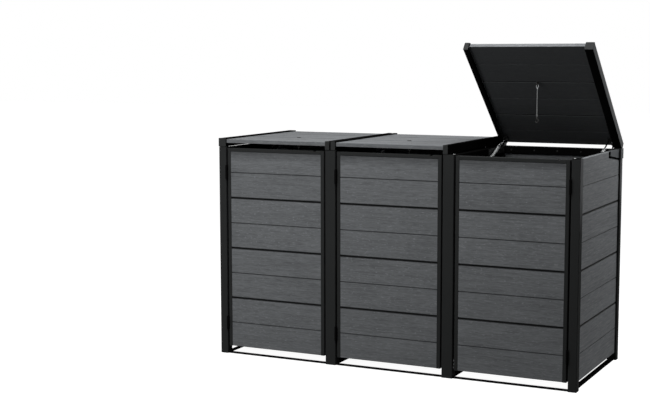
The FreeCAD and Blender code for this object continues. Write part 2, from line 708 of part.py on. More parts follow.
def lid_fittings(name, bay, side):
    """Strip on the inner face of a lid rail with its bolts and the strut's upper stud."""
    face = "-lid_play"
    inner = f"{face} + bracket_thick"
    strip = block(
        name + "_strip", from_side(bay, side, face, inner),
        (f"{HINGE_Y} - bracket_front", f"{HINGE_Y} - bracket_rear"),
        (f"{LID_LOW} + bracket_lift", f"{LID_LOW} + bracket_lift + bracket_height"))
    arm_y, arm_z = f"{HINGE_Y} - arm_forward", f"{HINGE_Z} - arm_down"
    stud_end = "strut_inset + strut_eye_thick / 2 + stud_gap"
    stud = round_bar(name + "_stud", "x", "stud_radius", f"{stud_end} - ({inner})",
                     from_side(bay, side, inner, stud_end)[0], arm_y, arm_z)
    head = round_bar(name + "_head", "x", "stud_head_radius", "stud_head_height",
                     from_side(bay, side, stud_end, f"{stud_end} + stud_head_height")[0], arm_y, arm_z)
    bolts = []
    for bolt in ("first", "second", "third"):
        bolts.append(round_bar(
            f"{name}_bolt_{bolt}", "x", "bracket_bolt_radius", "bracket_bolt_height",
            from_side(bay, side, inner, f"{inner} + bracket_bolt_height")[0],
            f"{HINGE_Y} - bracket_bolt_{bolt}", f"{LID_LOW} + bracket_lift + bracket_height / 2"))
    return fuse(name, strip, stud, head, *bolts)


def make_lid(bay):
    """A lid: two side rails with caps, boards between them, strut fittings and an eye bolt."""
    rails, caps, fittings, notches = [], [], [], []
    for side, label in ((-1, "left"), (1, "right")):
        outer = "end_post_width" if BAYS[bay] == side else LID_INNER_RAIL
        x = from_side(bay, side, f"-{outer}", "-lid_play")
        bore_x = from_side(bay, side, "-lid_play - bolt_reach - 1", "1 - lid_play")[0]
        rails.append(lid_rail(f"lid_{bay}_rail_{label}", x, bore_x))
        caps.append(rail_cap(f"lid_{bay}_cap_{label}", x))
        fittings.append(lid_fittings(f"lid_{bay}_fitting_{label}", bay, side))
        notches.append((from_side(bay, side, "-lid_play - 1", "notch_width"), label))
    left = from_side(bay, -1, "-lid_play", "0")[0]
    length = "bay_width + 2 * lid_play"
    turn = facing((0, 0, -1), (0, 1, 0))
    boards = board_wall(
        f"lid_{bay}_board", "0", "store_depth - lid_board_setback", "board_pitch", length,
        (turn, left, "0", LID_BOARD_HIGH))
    cut_boards = []
    for number, board in enumerate(boards, 1):
        name = f"lid_{bay}_board_{number}"
        tools = [round_bar(name + "_hole", "z", "eye_bolt_radius + eye_bolt_play", "board_thick + 2",
                           centre(bay), "eye_bolt_back", f"{LID_BOARD_LOW} - 1")]
        for x, label in notches:
            tools.append(block(f"{name}_notch_{label}", x,
                               (f"{HINGE_Y} - eye_radius - notch_play", "store_depth + 1"),
                               (f"{LID_BOARD_LOW} - 1", f"{LID_BOARD_HIGH} + 1")))
        cut_boards.append(cut(name + "_cut", board, *tools))
    cap_disc = round_bar(f"lid_{bay}_eye_disc", "z", "eye_cap_radius", "eye_cap_height",
                         centre(bay), "eye_bolt_back", LID_BOARD_HIGH)
    cap = doc.addObject("Part::Fillet", f"lid_{bay}_eye_cap")
    cap.Base = cap_disc
    edge = value("eye_cap_round")
    cap.Edges = [(TOP_EDGE_OF_CYLINDER, edge, edge)]
    shank = round_bar(f"lid_{bay}_eye_shank", "z", "eye_bolt_radius",
                      f"{LID_BOARD_HIGH} - {RING_Z} - eye_ring_radius", centre(bay), "eye_bolt_back",
                      f"{RING_Z} + eye_ring_radius")
    washer = round_bar(f"lid_{bay}_eye_washer", "z", "washer_radius", "washer_thick",
                       centre(bay), "eye_bolt_back", f"{LID_BOARD_LOW} - washer_thick")
    eye = ring(f"lid_{bay}_eye_ring", "x", "eye_ring_radius", "eye_ring_wire",
               centre(bay), "eye_bolt_back", RING_Z)
    bolt = fuse(f"lid_{bay}_eye", cap, shank, washer, eye)
    return [
        sub_part(f"lid_{bay}_rails", *rails), sub_part(f"lid_{bay}_rail_caps", *caps),
        sub_part(f"lid_{bay}_boards", *cut_boards), sub_part(f"lid_{bay}_strut_brackets", *fittings),
        sub_part(f"lid_{bay}_eye_bolt", bolt)]


def make_strut(bay, side, label):
    """Tube and rod of one strut, laid along +Y from the centre of its lower eye."""
    name = f"strut_{bay}_{label}"
    barrel = round_bar(name + "_barrel", "y", "tube_radius", "tube_length - tube_start",
                       "0", "tube_start", "0")
    gland = round_bar(name + "_gland", "y", "gland_radius", "gland_length",
                      "0", "tube_length - gland_length", "0")
    foot = round_bar(name + "_foot", "x", "tube_eye_radius", "strut_eye_thick",
                     "-strut_eye_thick / 2", "0", "0")
    foot_bore = round_bar(name + "_foot_bore", "x", "stud_radius + running_play", "strut_eye_thick + 2",
                          "-strut_eye_thick / 2 - 1", "0", "0")
    inside = round_bar(name + "_inside", "y", "rod_radius + running_play", "tube_length",
                       "0", "tube_floor", "0")
    sleeve = cut(name + "_sleeve", fuse(name + "_joined", barrel, gland, foot), foot_bore, inside)
    reach = value("hypot(foot_forward - arm_forward; foot_down - arm_down)")
    stem = round_bar(name + "_stem", "y", "rod_radius", f"{reach} - rod_start", "0", "rod_start", "0")
    eye = round_bar(name + "_eye", "x", "rod_eye_radius", "strut_eye_thick",
                    "-strut_eye_thick / 2", f"{reach}", "0")
    eye_bore = round_bar(name + "_eye_bore", "x", "stud_radius + rod_eye_play", "strut_eye_thick + 2",
                         "-strut_eye_thick / 2 - 1", f"{reach}", "0")
    rod = cut(name + "_piston", fuse(name + "_rod_joined", stem, eye), eye_bore)
    return sub_part(name + "_tube", sleeve), sub_part(name + "_rod", rod)


def make_pull_line(bay):
    """Link, ferrule, cord and hook, laid down -Z from the centre of the eye bolt's ring."""
    name = f"pull_{bay}"
    link_drop = "(eye_ring_radius + link_radius - eye_ring_wire - link_wire - link_play)"
    ferrule_top = f"({link_drop} + link_radius)"
    ferrule_foot = f"({ferrule_top} + ferrule_length)"
    cord_foot = f"({ferrule_foot} + cord_length)"
    neck_foot = f"({cord_foot} + hook_neck_length)"
    link = ring(name + "_link", "y", "link_radius", "link_wire", "0", "0", f"-{link_drop}")
    ferrule = round_bar(name + "_ferrule", "z", "ferrule_radius", "ferrule_length",
                        "0", "0", f"-{ferrule_foot}")
    top = fuse(name + "_top_fitting", link, ferrule)
    cord = round_bar(name + "_line", "z", "cord_radius", "cord_length", "0", "0", f"-{cord_foot}")
    neck = round_bar(name + "_neck", "z", "hook_neck_radius", "hook_neck_length", "0", "0", f"-{neck_foot}")
    bend = ring(name + "_bend", "y", "hook_radius", "hook_wire", "0", "0",
                f"-{neck_foot} - hook_radius + 1", 250)
    bend.Placement.Rotation = FreeCAD.Rotation(FreeCAD.Vector(0, 1, 0), -90).multiply(ALONG["y"])
    hook = fuse(name + "_hook_joined", neck, bend)
    return sub_part(f"pull_cord_{bay}", cord), sub_part(f"pull_hook_{bay}", top, hook)


def opening_turn(bay):
    """Placement that carries a closed lid's pieces to where they are at rest."""
    angle = value("open_angle") if bay == OPEN_BAY else 0
    hinge = FreeCAD.Vector(0, value(HINGE_Y), value(HINGE_Z))
    return FreeCAD.Placement(FreeCAD.Vector(), FreeCAD.Rotation(FreeCAD.Vector(-1, 0, 0), angle), hinge)


def place_bay(bay, lid, struts, pull_line):
    """Set a bay's lid, struts and pull line at rest."""
    turn = opening_turn(bay)
    for node in lid:
        node.Placement = turn
    foot = FreeCAD.Vector(0, value(f"{HINGE_Y} - foot_forward"), value(f"{HINGE_Z} - foot_down"))
    arm = FreeCAD.Vector(0, value(f"{HINGE_Y} - arm_forward"), value(f"{HINGE_Z} - arm_down"))
    closed_length = arm.sub(foot).Length
    strut = turn.multVec(arm).sub(foot)
    lean = math.degrees(math.atan2(strut.z, strut.y))
    rise = FreeCAD.Rotation(FreeCAD.Vector(1, 0, 0), lean)
    way = FreeCAD.Vector(strut).normalize()
    for side, (sleeve, rod) in struts.items():
        x = value(from_side(bay, side, "strut_inset", "strut_inset")[0])
        start = FreeCAD.Vector(x, foot.y, foot.z)
        sleeve.Placement = FreeCAD.Placement(start, rise)
        rod.Placement = FreeCAD.Placement(start.add(way * (strut.Length - closed_length)), rise)
    ring_centre = FreeCAD.Vector(value(centre(bay)), value("eye_bolt_back"), value(RING_Z))
    for node in pull_line:
        node.Placement = FreeCAD.Placement(turn.multVec(ring_centre), FreeCAD.Rotation())
    print(bay, "strut", round(strut.Length, 3), "mm at", round(lean, 4), "degrees")


def check_pieces():
    """Stop if any feature failed or any sub-part is empty or not valid."""
    for item in doc.Objects:
        if "Invalid" in item.State or "Error" in item.State:
            raise RuntimeError(f"{item.Name} did not compute")
    for node in nodes:
        if node.Shape.isNull() or not node.Shape.isValid() or not node.Shape.Solids:
            raise RuntimeError(f"{node.Label} has no valid shape")


def export_pieces():
    """Move the origin to the middle of the footprint and write one file for each sub-part."""
    reach = FreeCAD.BoundBox()
    for node in nodes:
        reach.add(node.Shape.optimalBoundingBox(False, False))
    to_middle = FreeCAD.Placement(FreeCAD.Vector(0, -reach.Center.y, 0), FreeCAD.Rotation())
    os.makedirs("parts", exist_ok=True)
    for node in nodes:
        node.Placement = to_middle.multiply(node.Placement)
        node.Shape.exportStep(f"parts/{node.Label}.step")
    print("front face of the posts at y =", round(-reach.Center.y, 3))
    print("box", [round(length, 2) for length in (reach.XLength, reach.YLength, reach.ZLength)])
    print("sub-parts", len(nodes), "solids", sum(len(node.Shape.Solids) for node in nodes))


make_rails(make_posts())
make_gussets()
make_walls()
make_doors()
make_hinge_plates()
for bay_name in BAYS:
    lid_nodes = make_lid(bay_name)
    strut_nodes = {side: make_strut(bay_name, side, label) for side, label in ((-1, "left"), (1, "right"))}
    line_nodes = make_pull_line(bay_name)
    place_bay(bay_name, lid_nodes, strut_nodes, line_nodes)
doc.recompute()
check_pieces()
export_pieces()
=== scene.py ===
"""Finish, pull lines and studio for the bin store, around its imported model.

Everything is in metres in the model's own frame: X along the row of bays, Y from the doors to
the back, Z up from the ground.
"""

import json
import math

import bmesh
import bpy
from bpy.props import FloatProperty, FloatVectorProperty, PointerProperty
from bpy.types import Operator, Panel, PropertyGroup
from mathutils import Euler, Matrix, Vector

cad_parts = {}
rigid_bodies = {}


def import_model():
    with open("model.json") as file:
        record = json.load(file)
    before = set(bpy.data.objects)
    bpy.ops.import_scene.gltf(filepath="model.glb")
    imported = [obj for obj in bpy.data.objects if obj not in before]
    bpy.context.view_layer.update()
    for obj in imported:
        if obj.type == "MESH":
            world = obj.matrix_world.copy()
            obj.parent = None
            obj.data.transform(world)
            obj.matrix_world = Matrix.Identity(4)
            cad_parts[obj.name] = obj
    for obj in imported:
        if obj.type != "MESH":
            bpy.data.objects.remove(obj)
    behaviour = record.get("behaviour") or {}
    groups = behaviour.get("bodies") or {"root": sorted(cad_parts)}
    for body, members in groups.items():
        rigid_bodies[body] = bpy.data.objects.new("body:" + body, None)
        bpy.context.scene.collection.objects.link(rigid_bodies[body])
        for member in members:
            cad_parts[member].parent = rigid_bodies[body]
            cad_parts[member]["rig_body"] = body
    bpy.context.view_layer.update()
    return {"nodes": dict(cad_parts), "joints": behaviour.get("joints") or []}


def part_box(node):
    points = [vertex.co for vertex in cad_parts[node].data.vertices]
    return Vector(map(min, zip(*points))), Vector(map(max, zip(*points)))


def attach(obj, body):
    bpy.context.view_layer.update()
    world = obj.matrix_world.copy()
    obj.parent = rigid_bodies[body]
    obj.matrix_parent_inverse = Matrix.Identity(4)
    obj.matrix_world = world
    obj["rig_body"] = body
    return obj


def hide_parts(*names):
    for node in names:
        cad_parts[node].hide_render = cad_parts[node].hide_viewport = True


bl_info = {
    "name": "Bin Store Finish",
    "version": (1, 0, 0),
    "blender": (4, 5, 0),
    "location": "View3D > Sidebar > Bin Store",
    "description": "Finishes, pull lines and studio for a three-bay bin store",
    "category": "Object",
}

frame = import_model()
NODES = frame["nodes"]
JOINT_OF = {joint["child"]: joint for joint in frame["joints"]}
BAYS = ("left", "middle", "right")
STRUTS = [f"{bay}_{side}" for bay in BAYS for side in ("left", "right")]
# The way out of a bay on its two sides, and on the side where its door shuts
SIDES = (-1, 1)
LATCH_SIDE = {"left": 1, "middle": 1, "right": -1}
WALL_JOINTS = 3
LID_JOINTS = 2

# The lids' hinge line and how far the right-hand lid stands open
OPEN_BAY = "right"
LID_HINGE = Vector(JOINT_OF[f"lid_{OPEN_BAY}"]["pos_m"])
OPEN_TURN = math.radians(max(abs(limit) for limit in JOINT_OF[f"lid_{OPEN_BAY}"]["range_deg"]))

FRONT_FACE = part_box("post_front_left")[0].y
POST_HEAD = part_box("post_front_left")[1].z
OUTER_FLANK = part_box("post_front_right")[1].x
BAY_CENTRE = {bay: JOINT_OF[f"lid_{bay}"]["pos_m"][0] for bay in BAYS}
DOOR_GAP = 0.009
BAY_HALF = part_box("door_middle_frame")[1].x + DOOR_GAP

# Nearly all of a noise lies between these values
NOISE = {"From Min": 0.3, "From Max": 0.7}
FLAT = Matrix.Rotation(math.pi / 2, 4, "X")
ACROSS = Matrix.Rotation(math.pi / 2, 4, "Z")


def linear(code):
    """The linear colour of an sRGB hex code."""
    channels = [int(code[place:place + 2], 16) / 255 for place in (1, 3, 5)]
    return [part / 12.92 if part <= 0.04045 else ((part + 0.055) / 1.055) ** 2.4 for part in channels]


def opaque(colour, share=1.0):
    """A share of a linear colour, as a socket takes it."""
    return [share * part for part in colour] + [1]


def metres(name, description, default):
    """A length that the user can change."""
    return FloatProperty(
        name=name, description=description, default=default, subtype="DISTANCE", unit="LENGTH")


def angle(name, description, degrees):
    """An angle that the user can change."""
    return FloatProperty(
        name=name, description=description, default=math.radians(degrees), subtype="ANGLE")


def tint(name, description, code):
    """A colour that the user can change."""
    return FloatVectorProperty(
        name=name, description=description, default=linear(code), subtype="COLOR")


class BoardSizes(PropertyGroup):
    colour: tint("Board colour", "Pigment of the composite boards", "#606264")
    board_pitch: metres("Board pitch", "Height of one board with its joint", 0.2835)
    first_joint: metres("First joint", "Height of the lowest joint in a wall or a door", 0.3245)
    joint_width: metres("Joint width", "Gap between two boards, with its two bevels", 0.0155)
    groove_width: metres("Groove width", "Width of the groove along a board's middle", 0.0085)
    bay_pitch: metres(
        "Bay pitch", "Distance from one bay to the next", BAY_CENTRE["right"] - BAY_CENTRE["middle"])
    streak_length: metres("Streak length", "Length of a short streak of the brushed skin", 0.036)
    streak_height: metres(
        "Streak height", "Height of a streak, wide enough to show from a few metres", 0.0045)
    grain_spacing: metres("Grain spacing", "Distance between two grain lines of the embossing", 0.009)
    grain_depth: metres("Grain depth", "Depth of the embossed grain", 0.0004)


class SteelSizes(PropertyGroup):
    coat: tint("Powder coat", "Colour of the powder coat on posts and door frames", "#292a2a")
    # painted sheen: a paler tone that stands in for a sheen high on the store's outer sides
    flank: tint("Outer flank", "Colour of the coat on the store's outer flanks", "#5b5c5d")
    # painted shade: a darker copy of the coat for rails, bars, hinges and keepers, parts that lie in shade
    matt_coat: tint("Matt coat", "Colour of the matt coat on rails, bars and hinges", "#0c0c0c")
    gusset: tint("Gusset coat", "Colour of the coat on the rear corner plates", "#4a4c4e")
    plastic: tint("Cap plastic", "Colour of the moulded caps", "#2b2c2c")
    peel_spacing: metres("Peel spacing", "Distance between the bumps of the powder coat's skin", 0.0022)
    hex_across: metres("Hexagon", "Width across the flats of the bolts in the hinge plates", 0.013)
    hex_height: metres("Hexagon height", "Height of a bolt's hexagon head", 0.0042)
    screw_radius: metres("Screw head", "Radius of a pan-head screw", 0.0048)
    screw_height: metres("Screw head height", "Height of a pan-head screw", 0.0024)
    buffer_radius: metres("Buffer radius", "Radius of the rest buffers on the post heads", 0.0065)


class StrutSizes(PropertyGroup):
    stem_radius: metres("Rod radius", "Radius of a strut's rod", 0.004)
    eye_radius: metres("Eye radius", "Outer radius of the rod's eye", 0.011)
    eye_bore: metres("Eye bore", "Radius of the bore in the rod's eye", 0.0075)
    eye_width: metres("Eye width", "Width of the rod's eye along its stud", 0.012)
    gland_radius: metres("Gland radius", "Radius of the bright gland ring at a tube's mouth", 0.0098)
    gland_length: metres("Gland length", "Length of the gland ring", 0.0115)


class LineSizes(PropertyGroup):
    colour: tint("Line colour", "Colour of the braided pull lines", "#9a9c9c")
    diameter: metres("Line diameter", "Thickness of a pull line", 0.004)
    strand: metres("Strand", "Width of one strand of the braid", 0.0012)
    hook_radius: metres("Hook radius", "Radius of the snap hook's bend", 0.009)
    hook_wire: metres("Hook wire", "Radius of the snap hook's wire", 0.0025)


class StageSizes(PropertyGroup):
    camera_x: metres("Camera across", "Camera's distance to the right of the middle bay", 2.8059)
    camera_forward: metres("Camera forward", "Camera's distance in front of the posts", 6.3538)
    camera_height: metres("Camera height", "Camera's height above the ground", 1.7001)
    camera_turn: angle("Camera turn", "How far the camera looks to the left", 26.566)
    camera_dip: angle("Camera dip", "How far the camera looks down", 6.591)
    camera_roll: angle("Camera roll", "Roll of the camera", -0.111)
    lens: FloatProperty(
        name="Lens", description="Focal length in millimetres on a 36 mm sensor", default=73.19)


class StoreSettings(PropertyGroup):
    boards: PointerProperty(type=BoardSizes, name="Boards", description="Composite boards")
    steel: PointerProperty(type=SteelSizes, name="Steel", description="Steel frame, caps and fasteners")
    struts: PointerProperty(type=StrutSizes, name="Struts", description="Struts that carry the lids")
    lines: PointerProperty(type=LineSizes, name="Pull lines", description="Lines under the lids")
    stage: PointerProperty(type=StageSizes, name="Stage", description="Camera and studio")


def add(tree, kind, inputs=None, **settings):
    """A new shader node of a tree, with its own settings.

    inputs are values, sockets to link, or nodes, whose first output in use is linked.
    """
    node = tree.nodes.new(f"ShaderNode{kind}")
    for name, setting in settings.items():
        setattr(node, name, setting)
    for name, given in (inputs or {}).items():
        if isinstance(given, bpy.types.Node):
            given = next(output for output in given.outputs if output.enabled)
        if isinstance(given, bpy.types.NodeSocket):
            tree.links.new(given, node.inputs[name])
        else:
            node.inputs[name].default_value = given
    return node


def new_material(name):
    """An empty material, its tree, and the place of a point on the object."""
    material = bpy.data.materials.new(name)
    material.use_nodes = True
    tree = material.node_tree
    tree.nodes.clear()
    return material, tree, add(tree, "TexCoord").outputs["Object"]


def dress(material, *names):
    """Give CAD nodes a material in all their slots. Braces in a name stand for each bay in turn."""
    for node in sorted({name.format(bay) for name in names for bay in BAYS}):
        mesh = NODES[node].data
        mesh.materials.clear()
        mesh.materials.append(material)


def composite_board(name, sizes, first_joint, joints, span, turn=(0, 0, 0), shift=(0, 0, 0),
                    underside=None, stretch=1.0, rail_edge=None):
    """Wood-plastic composite, extruded and embossed with a wood grain, then brushed.

    The eye sees a dull charcoal with short, fine streaks, a few light flecks of wood flour and faint
    pointed arches, another stretch of them on each board. turn and shift bring the boards' own directions
    to X along the grain and Z across it, where joints of them come after the first; span is the width of
    one bay of boards. Boards have a smooth underside, without the brushing, where their depth along the
    turned Y is more than underside; that underside gets a painted shade, and its joints get a paler painted
    highlight. stretch draws the streaks out further. Right under a rail, whose lower edge is at rail_edge,
    the boards get a painted shade that fades out downwards.
    """
    painted_shade_dark, gap_black, painted_seam_highlight = (opaque(linear(code)) for code in ("#0e0f10", "#0e0f0f", "#535556"))
    material, tree, place = new_material(name)
    flat = add(tree, "Mapping", {"Vector": place, "Location": shift, "Rotation": turn})
    apart = add(tree, "SeparateXYZ", {"Vector": flat}).outputs
    # each board of each bay gets a number of its own, and with it another stretch of grain
    risen = add(tree, "Math", {0: apart["Z"], 1: first_joint}, operation="SUBTRACT")
    rows = add(tree, "Math", {0: risen, 1: sizes.board_pitch}, operation="DIVIDE")
    row = add(tree, "Math", {0: rows}, operation="FLOOR")
    columns = add(tree, "Math", {0: apart["X"], 1: span}, operation="DIVIDE")
    column = add(tree, "Math", {0: columns}, operation="ROUND")
    side = add(tree, "Math", {0: apart["Y"]}, operation="SIGN")
    number = add(tree, "CombineXYZ", {"X": row, "Y": column, "Z": side})
    chance = add(tree, "TexWhiteNoise", {"Vector": number}, noise_dimensions="3D")
    furthest = (40, 40, 40)
    offset = add(tree, "VectorMath", {0: chance.outputs["Color"], 1: furthest}, operation="MULTIPLY")
    grain_place = add(tree, "VectorMath", {0: flat, 1: offset})

    def streaks(length, height, detail):
        """Noise drawn out along the grain; length and height are those of one streak."""
        drawn = add(tree, "VectorMath", {
            0: grain_place, 1: (1 / (stretch * length), 1 / height, 1 / height)}, operation="MULTIPLY")
        return add(tree, "TexNoise", {
            "Vector": drawn, "Scale": 1.0, "Detail": detail, "Roughness": 0.5})

    # long contours of a stretched noise are the grain's arches
    arch_length, arch_height, arch_part = 0.9, 0.055, 0.05
    waves = 2 * math.pi * arch_height / sizes.grain_spacing
    contour = streaks(arch_length, arch_height, 1.5)
    phase = add(tree, "Math", {0: contour, 1: waves}, operation="MULTIPLY")
    arches = add(tree, "Math", {0: phase}, operation="SINE")
    ridge = add(tree, "Math", {0: arches, 1: arch_part}, operation="MULTIPLY")
    # flecks are where another set of streaks is at its very brightest
    specks = streaks(0.016, 0.005, 0.0)
    fleck = add(tree, "MapRange", {
        "Value": specks, "From Min": 0.70, "From Max": 0.80, "To Min": 0.0, "To Max": 0.55})
    tone = add(tree, "Math", {0: fleck, 1: ridge})
    # short and long streaks and clouds lighten and darken the skin, each by its own share
    fibre = streaks(sizes.streak_length, sizes.streak_height, 2.0)
    long_streaks, clouds = streaks(0.30, 0.009, 2.0), streaks(0.20, 0.12, 2.0)
    for noise, share in ((fibre, 0.20), (long_streaks, 0.11), (clouds, 0.07)):
        part = add(tree, "MapRange", {"Value": noise, **NOISE, "To Min": -share, "To Max": share})
        tone = add(tree, "Math", {0: tone, 1: part})
    # and no two boards have quite the same shade
    board_part = add(tree, "MapRange", {"Value": chance, "To Min": -0.05, "To Max": 0.05})
    tone = add(tree, "Math", {0: tone, 1: board_part})
    if underside is not None:
        brushed = add(tree, "Math", {0: apart["Y"], 1: underside}, operation="LESS_THAN")
        contrast = add(tree, "MapRange", {"Value": brushed, "To Min": 0.35, "To Max": 1.0})
        tone = add(tree, "Math", {0: tone, 1: contrast}, operation="MULTIPLY")
    tone = add(tree, "Math", {0: tone, 1: 0.5})
    skin = add(tree, "Mix", {
        "Factor": tone, "A": opaque(sizes.colour, 0.62), "B": opaque(sizes.colour, 1.38)}, data_type="RGBA")
    # painted shade: the underside, and a strip right under a rail that fades out downwards, are mixed
    # towards a near-black colour
    painted_shade = None
    if underside is not None:
        painted_shade = add(tree, "MapRange", {"Value": brushed, "To Min": 0.6, "To Max": 0.0})
    elif rail_edge is not None:
        painted_shade = add(tree, "MapRange", {
            "Value": apart["Z"], "From Min": rail_edge - 0.055, "From Max": rail_edge,
            "To Min": 0.0, "To Max": 0.48})
    if painted_shade:
        skin = add(tree, "Mix", {"Factor": painted_shade, "A": skin, "B": painted_shade_dark}, data_type="RGBA")
    # joints and centre grooves take a near-black colour: weather grime, and painted shade in the gaps
    from_joint = add(tree, "Math", {0: rows, 1: 0.5}, operation="PINGPONG")
    joint_edge = sizes.joint_width / 2 / sizes.board_pitch
    in_joint = add(tree, "MapRange", {
        "Value": from_joint, "From Min": 0.6 * joint_edge, "From Max": joint_edge,
        "To Min": 0.96, "To Max": 0.0})
    groove_edge = 0.5 - sizes.groove_width / 2 / sizes.board_pitch
    in_groove = add(tree, "MapRange", {
        "Value": from_joint, "From Min": groove_edge, "From Max": 0.5, "To Min": 0.0, "To Max": 0.9})
    recess_dirt_and_shade = add(tree, "Math", {0: in_joint, 1: in_groove})
    # the first and the last board's outer edges are no joints
    from_middle = add(tree, "Math", {0: rows, 1: (joints - 1) / 2}, operation="SUBTRACT")
    away = add(tree, "Math", {0: from_middle}, operation="ABSOLUTE")
    between_edges = add(tree, "Math", {0: away, 1: (joints + 0.95) / 2}, operation="LESS_THAN")
    dirt_and_shade = add(tree, "Math", {0: recess_dirt_and_shade, 1: between_edges}, operation="MULTIPLY")
    seam = gap_black
    if underside is not None:
        # underneath, the joints get a paler colour: a painted highlight on their edges
        seam = add(tree, "Mix", {"Factor": brushed, "A": painted_seam_highlight, "B": gap_black}, data_type="RGBA")
    pigment = add(tree, "Mix", {"Factor": dirt_and_shade, "A": skin, "B": seam}, data_type="RGBA")
    height = add(tree, "Math", {0: fibre, 1: ridge})
    emboss = add(tree, "Bump", {"Strength": 0.6, "Distance": sizes.grain_depth, "Height": height})
    gloss = add(tree, "MapRange", {"Value": fibre, **NOISE, "To Min": 0.78, "To Max": 0.66})
    shader = add(tree, "BsdfPrincipled", {
        "Base Color": pigment, "Roughness": gloss, "IOR": 1.5, "Specular IOR Level": 0.08,
        "Normal": emboss})
    add(tree, "OutputMaterial", {"Surface": shader})
    return material


def powder_coat(name, colour, sizes, roughness, specular, flank=None):
    """Polyester powder, sprayed and baked on steel tube: a satin skin with a fine orange peel.

    High on the store's outer flanks the coat gets a painted sheen: a paler colour that fades in with
    height.
    """
    material, tree, place = new_material(name)
    peel = add(tree, "TexNoise", {
        "Vector": place, "Scale": 1 / sizes.peel_spacing, "Detail": 1.0, "Roughness": 0.4})
    skin = add(tree, "Bump", {"Strength": 0.25, "Distance": 0.00008, "Height": peel})
    patch = add(tree, "TexNoise", {"Vector": place, "Scale": 4.0, "Detail": 4.0, "Roughness": 0.6})
    sheen = add(tree, "MapRange", {
        "Value": patch, **NOISE, "To Min": roughness - 0.05, "To Max": roughness + 0.05})
    dusty = [min(1.0, 1.15 * part + 0.0006) for part in colour]
    pigment = add(tree, "Mix", {
        "Factor": patch, "A": opaque(colour), "B": opaque(dusty)}, data_type="RGBA")
    # painted sheen: high on the outer flanks the pigment turns paler with height
    if flank:
        pale_from, pale_all = 0.8, 1.0
        apart = add(tree, "SeparateXYZ", {"Vector": place}).outputs
        away = add(tree, "Math", {0: apart["X"]}, operation="ABSOLUTE")
        outside = add(tree, "MapRange", {
            "Value": away, "From Min": OUTER_FLANK - 0.0009, "From Max": OUTER_FLANK - 0.0003})
        high = add(tree, "MapRange", {"Value": apart["Z"], "From Min": pale_from, "From Max": pale_all})
        painted_sheen = add(tree, "Math", {0: outside, 1: high}, operation="MULTIPLY")
        pigment = add(tree, "Mix", {
            "Factor": painted_sheen, "A": pigment, "B": opaque(flank)}, data_type="RGBA")
    shader = add(tree, "BsdfPrincipled", {
        "Base Color": pigment, "Roughness": sheen, "IOR": 1.5, "Specular IOR Level": specular,
        "Normal": skin})
    add(tree, "OutputMaterial", {"Surface": shader})
    return material


def moulded_plastic(name, colour, specular=0.03):
    """Injection-moulded polypropylene with a spark-eroded skin, which the eye sees as matt and even."""
    grit = 0.0008
    material, tree, place = new_material(name)
    sparks = add(tree, "TexNoise", {"Vector": place, "Scale": 1 / grit, "Detail": 2.0})
    skin = add(tree, "Bump", {"Strength": 0.3, "Distance": 0.00005, "Height": sparks})
    tone = add(tree, "MapRange", {"Value": sparks, **NOISE, "To Min": 0.50, "To Max": 0.62})
    shader = add(tree, "BsdfPrincipled", {
        "Base Color": opaque(colour), "Roughness": tone, "IOR": 1.49, "Specular IOR Level": specular,
        "Normal": skin})
    add(tree, "OutputMaterial", {"Surface": shader})
    return material


def bright_metal(name, colour, roughness, stain_spacing):
    """Plated or polished metal: a mirror that is a little cloudy from its bath or its grinding."""
    material, tree, place = new_material(name)
    stain = add(tree, "TexNoise", {"Vector": place, "Scale": 1 / stain_spacing, "Detail": 3.0})
    gloss = add(tree, "MapRange", {
        "Value": stain, **NOISE, "To Min": 0.75 * roughness, "To Max": 1.25 * roughness})
    shader = add(tree, "BsdfPrincipled", {
        "Base Color": opaque(linear(colour)), "Metallic": 1.0, "Roughness": gloss})
    add(tree, "OutputMaterial", {"Surface": shader})
    return material


def black_oxide(name):
    """Blackened steel: nearly black, with a dull, slightly brown bloom."""
    bloom_size = 0.002
    material, tree, place = new_material(name)
    bloom = add(tree, "TexNoise", {"Vector": place, "Scale": 1 / bloom_size, "Detail": 3.0})
    pigment = add(tree, "Mix", {
        "Factor": bloom, "A": opaque(linear("#0e0f0f")), "B": opaque(linear("#1d1c1a"))}, data_type="RGBA")
    gloss = add(tree, "MapRange", {"Value": bloom, **NOISE, "To Min": 0.4, "To Max": 0.55})
    shader = add(tree, "BsdfPrincipled", {
        "Base Color": pigment, "Roughness": gloss, "IOR": 1.5, "Specular IOR Level": 0.3})
    add(tree, "OutputMaterial", {"Surface": shader})
    return material


def braided_polyester(name, colour, strand):
    """Polyester yarn braided round a core: two sets of crossed strands, dull and a little fuzzy."""
    material, tree, place = new_material(name)
    strands = []
    for lean in (math.pi / 4, -math.pi / 4):
        leaning = add(tree, "Mapping", {"Vector": place, "Rotation": (lean, lean, 0)})
        # at a scale of one, a wave turns by 20 radians in a metre
        wave = add(tree, "TexWave", {
            "Vector": leaning, "Scale": 2 * math.pi / strand / 20}, bands_direction="Z")
        strands.append(wave.outputs["Fac"])
    crossed = add(tree, "Math", {0: strands[0], 1: strands[1]}, operation="MAXIMUM")
    skin = add(tree, "Bump", {"Strength": 0.6, "Distance": 0.0003, "Height": crossed})
    pigment = add(tree, "Mix", {
        "Factor": crossed, "A": opaque(colour, 0.55), "B": opaque(colour)}, data_type="RGBA")
    shader = add(tree, "BsdfPrincipled", {
        "Base Color": pigment, "Roughness": 0.85, "IOR": 1.5, "Specular IOR Level": 0.15, "Normal": skin})
    add(tree, "OutputMaterial", {"Surface": shader})
    return material


def moved(bm, matrix, verts=None):
    """A shape, or some vertices of it, brought to its place."""
    bmesh.ops.transform(bm, matrix=matrix, verts=verts or bm.verts)
    return bm


def set_at(bm, place, way, verts=None):
    """Turn a shape so that its Z points a given way, and put its origin at a place."""
    turn = Vector((0, 0, 1)).rotation_difference(Vector(way)).to_matrix().to_4x4()
    return moved(bm, Matrix.Translation(place) @ turn, verts)


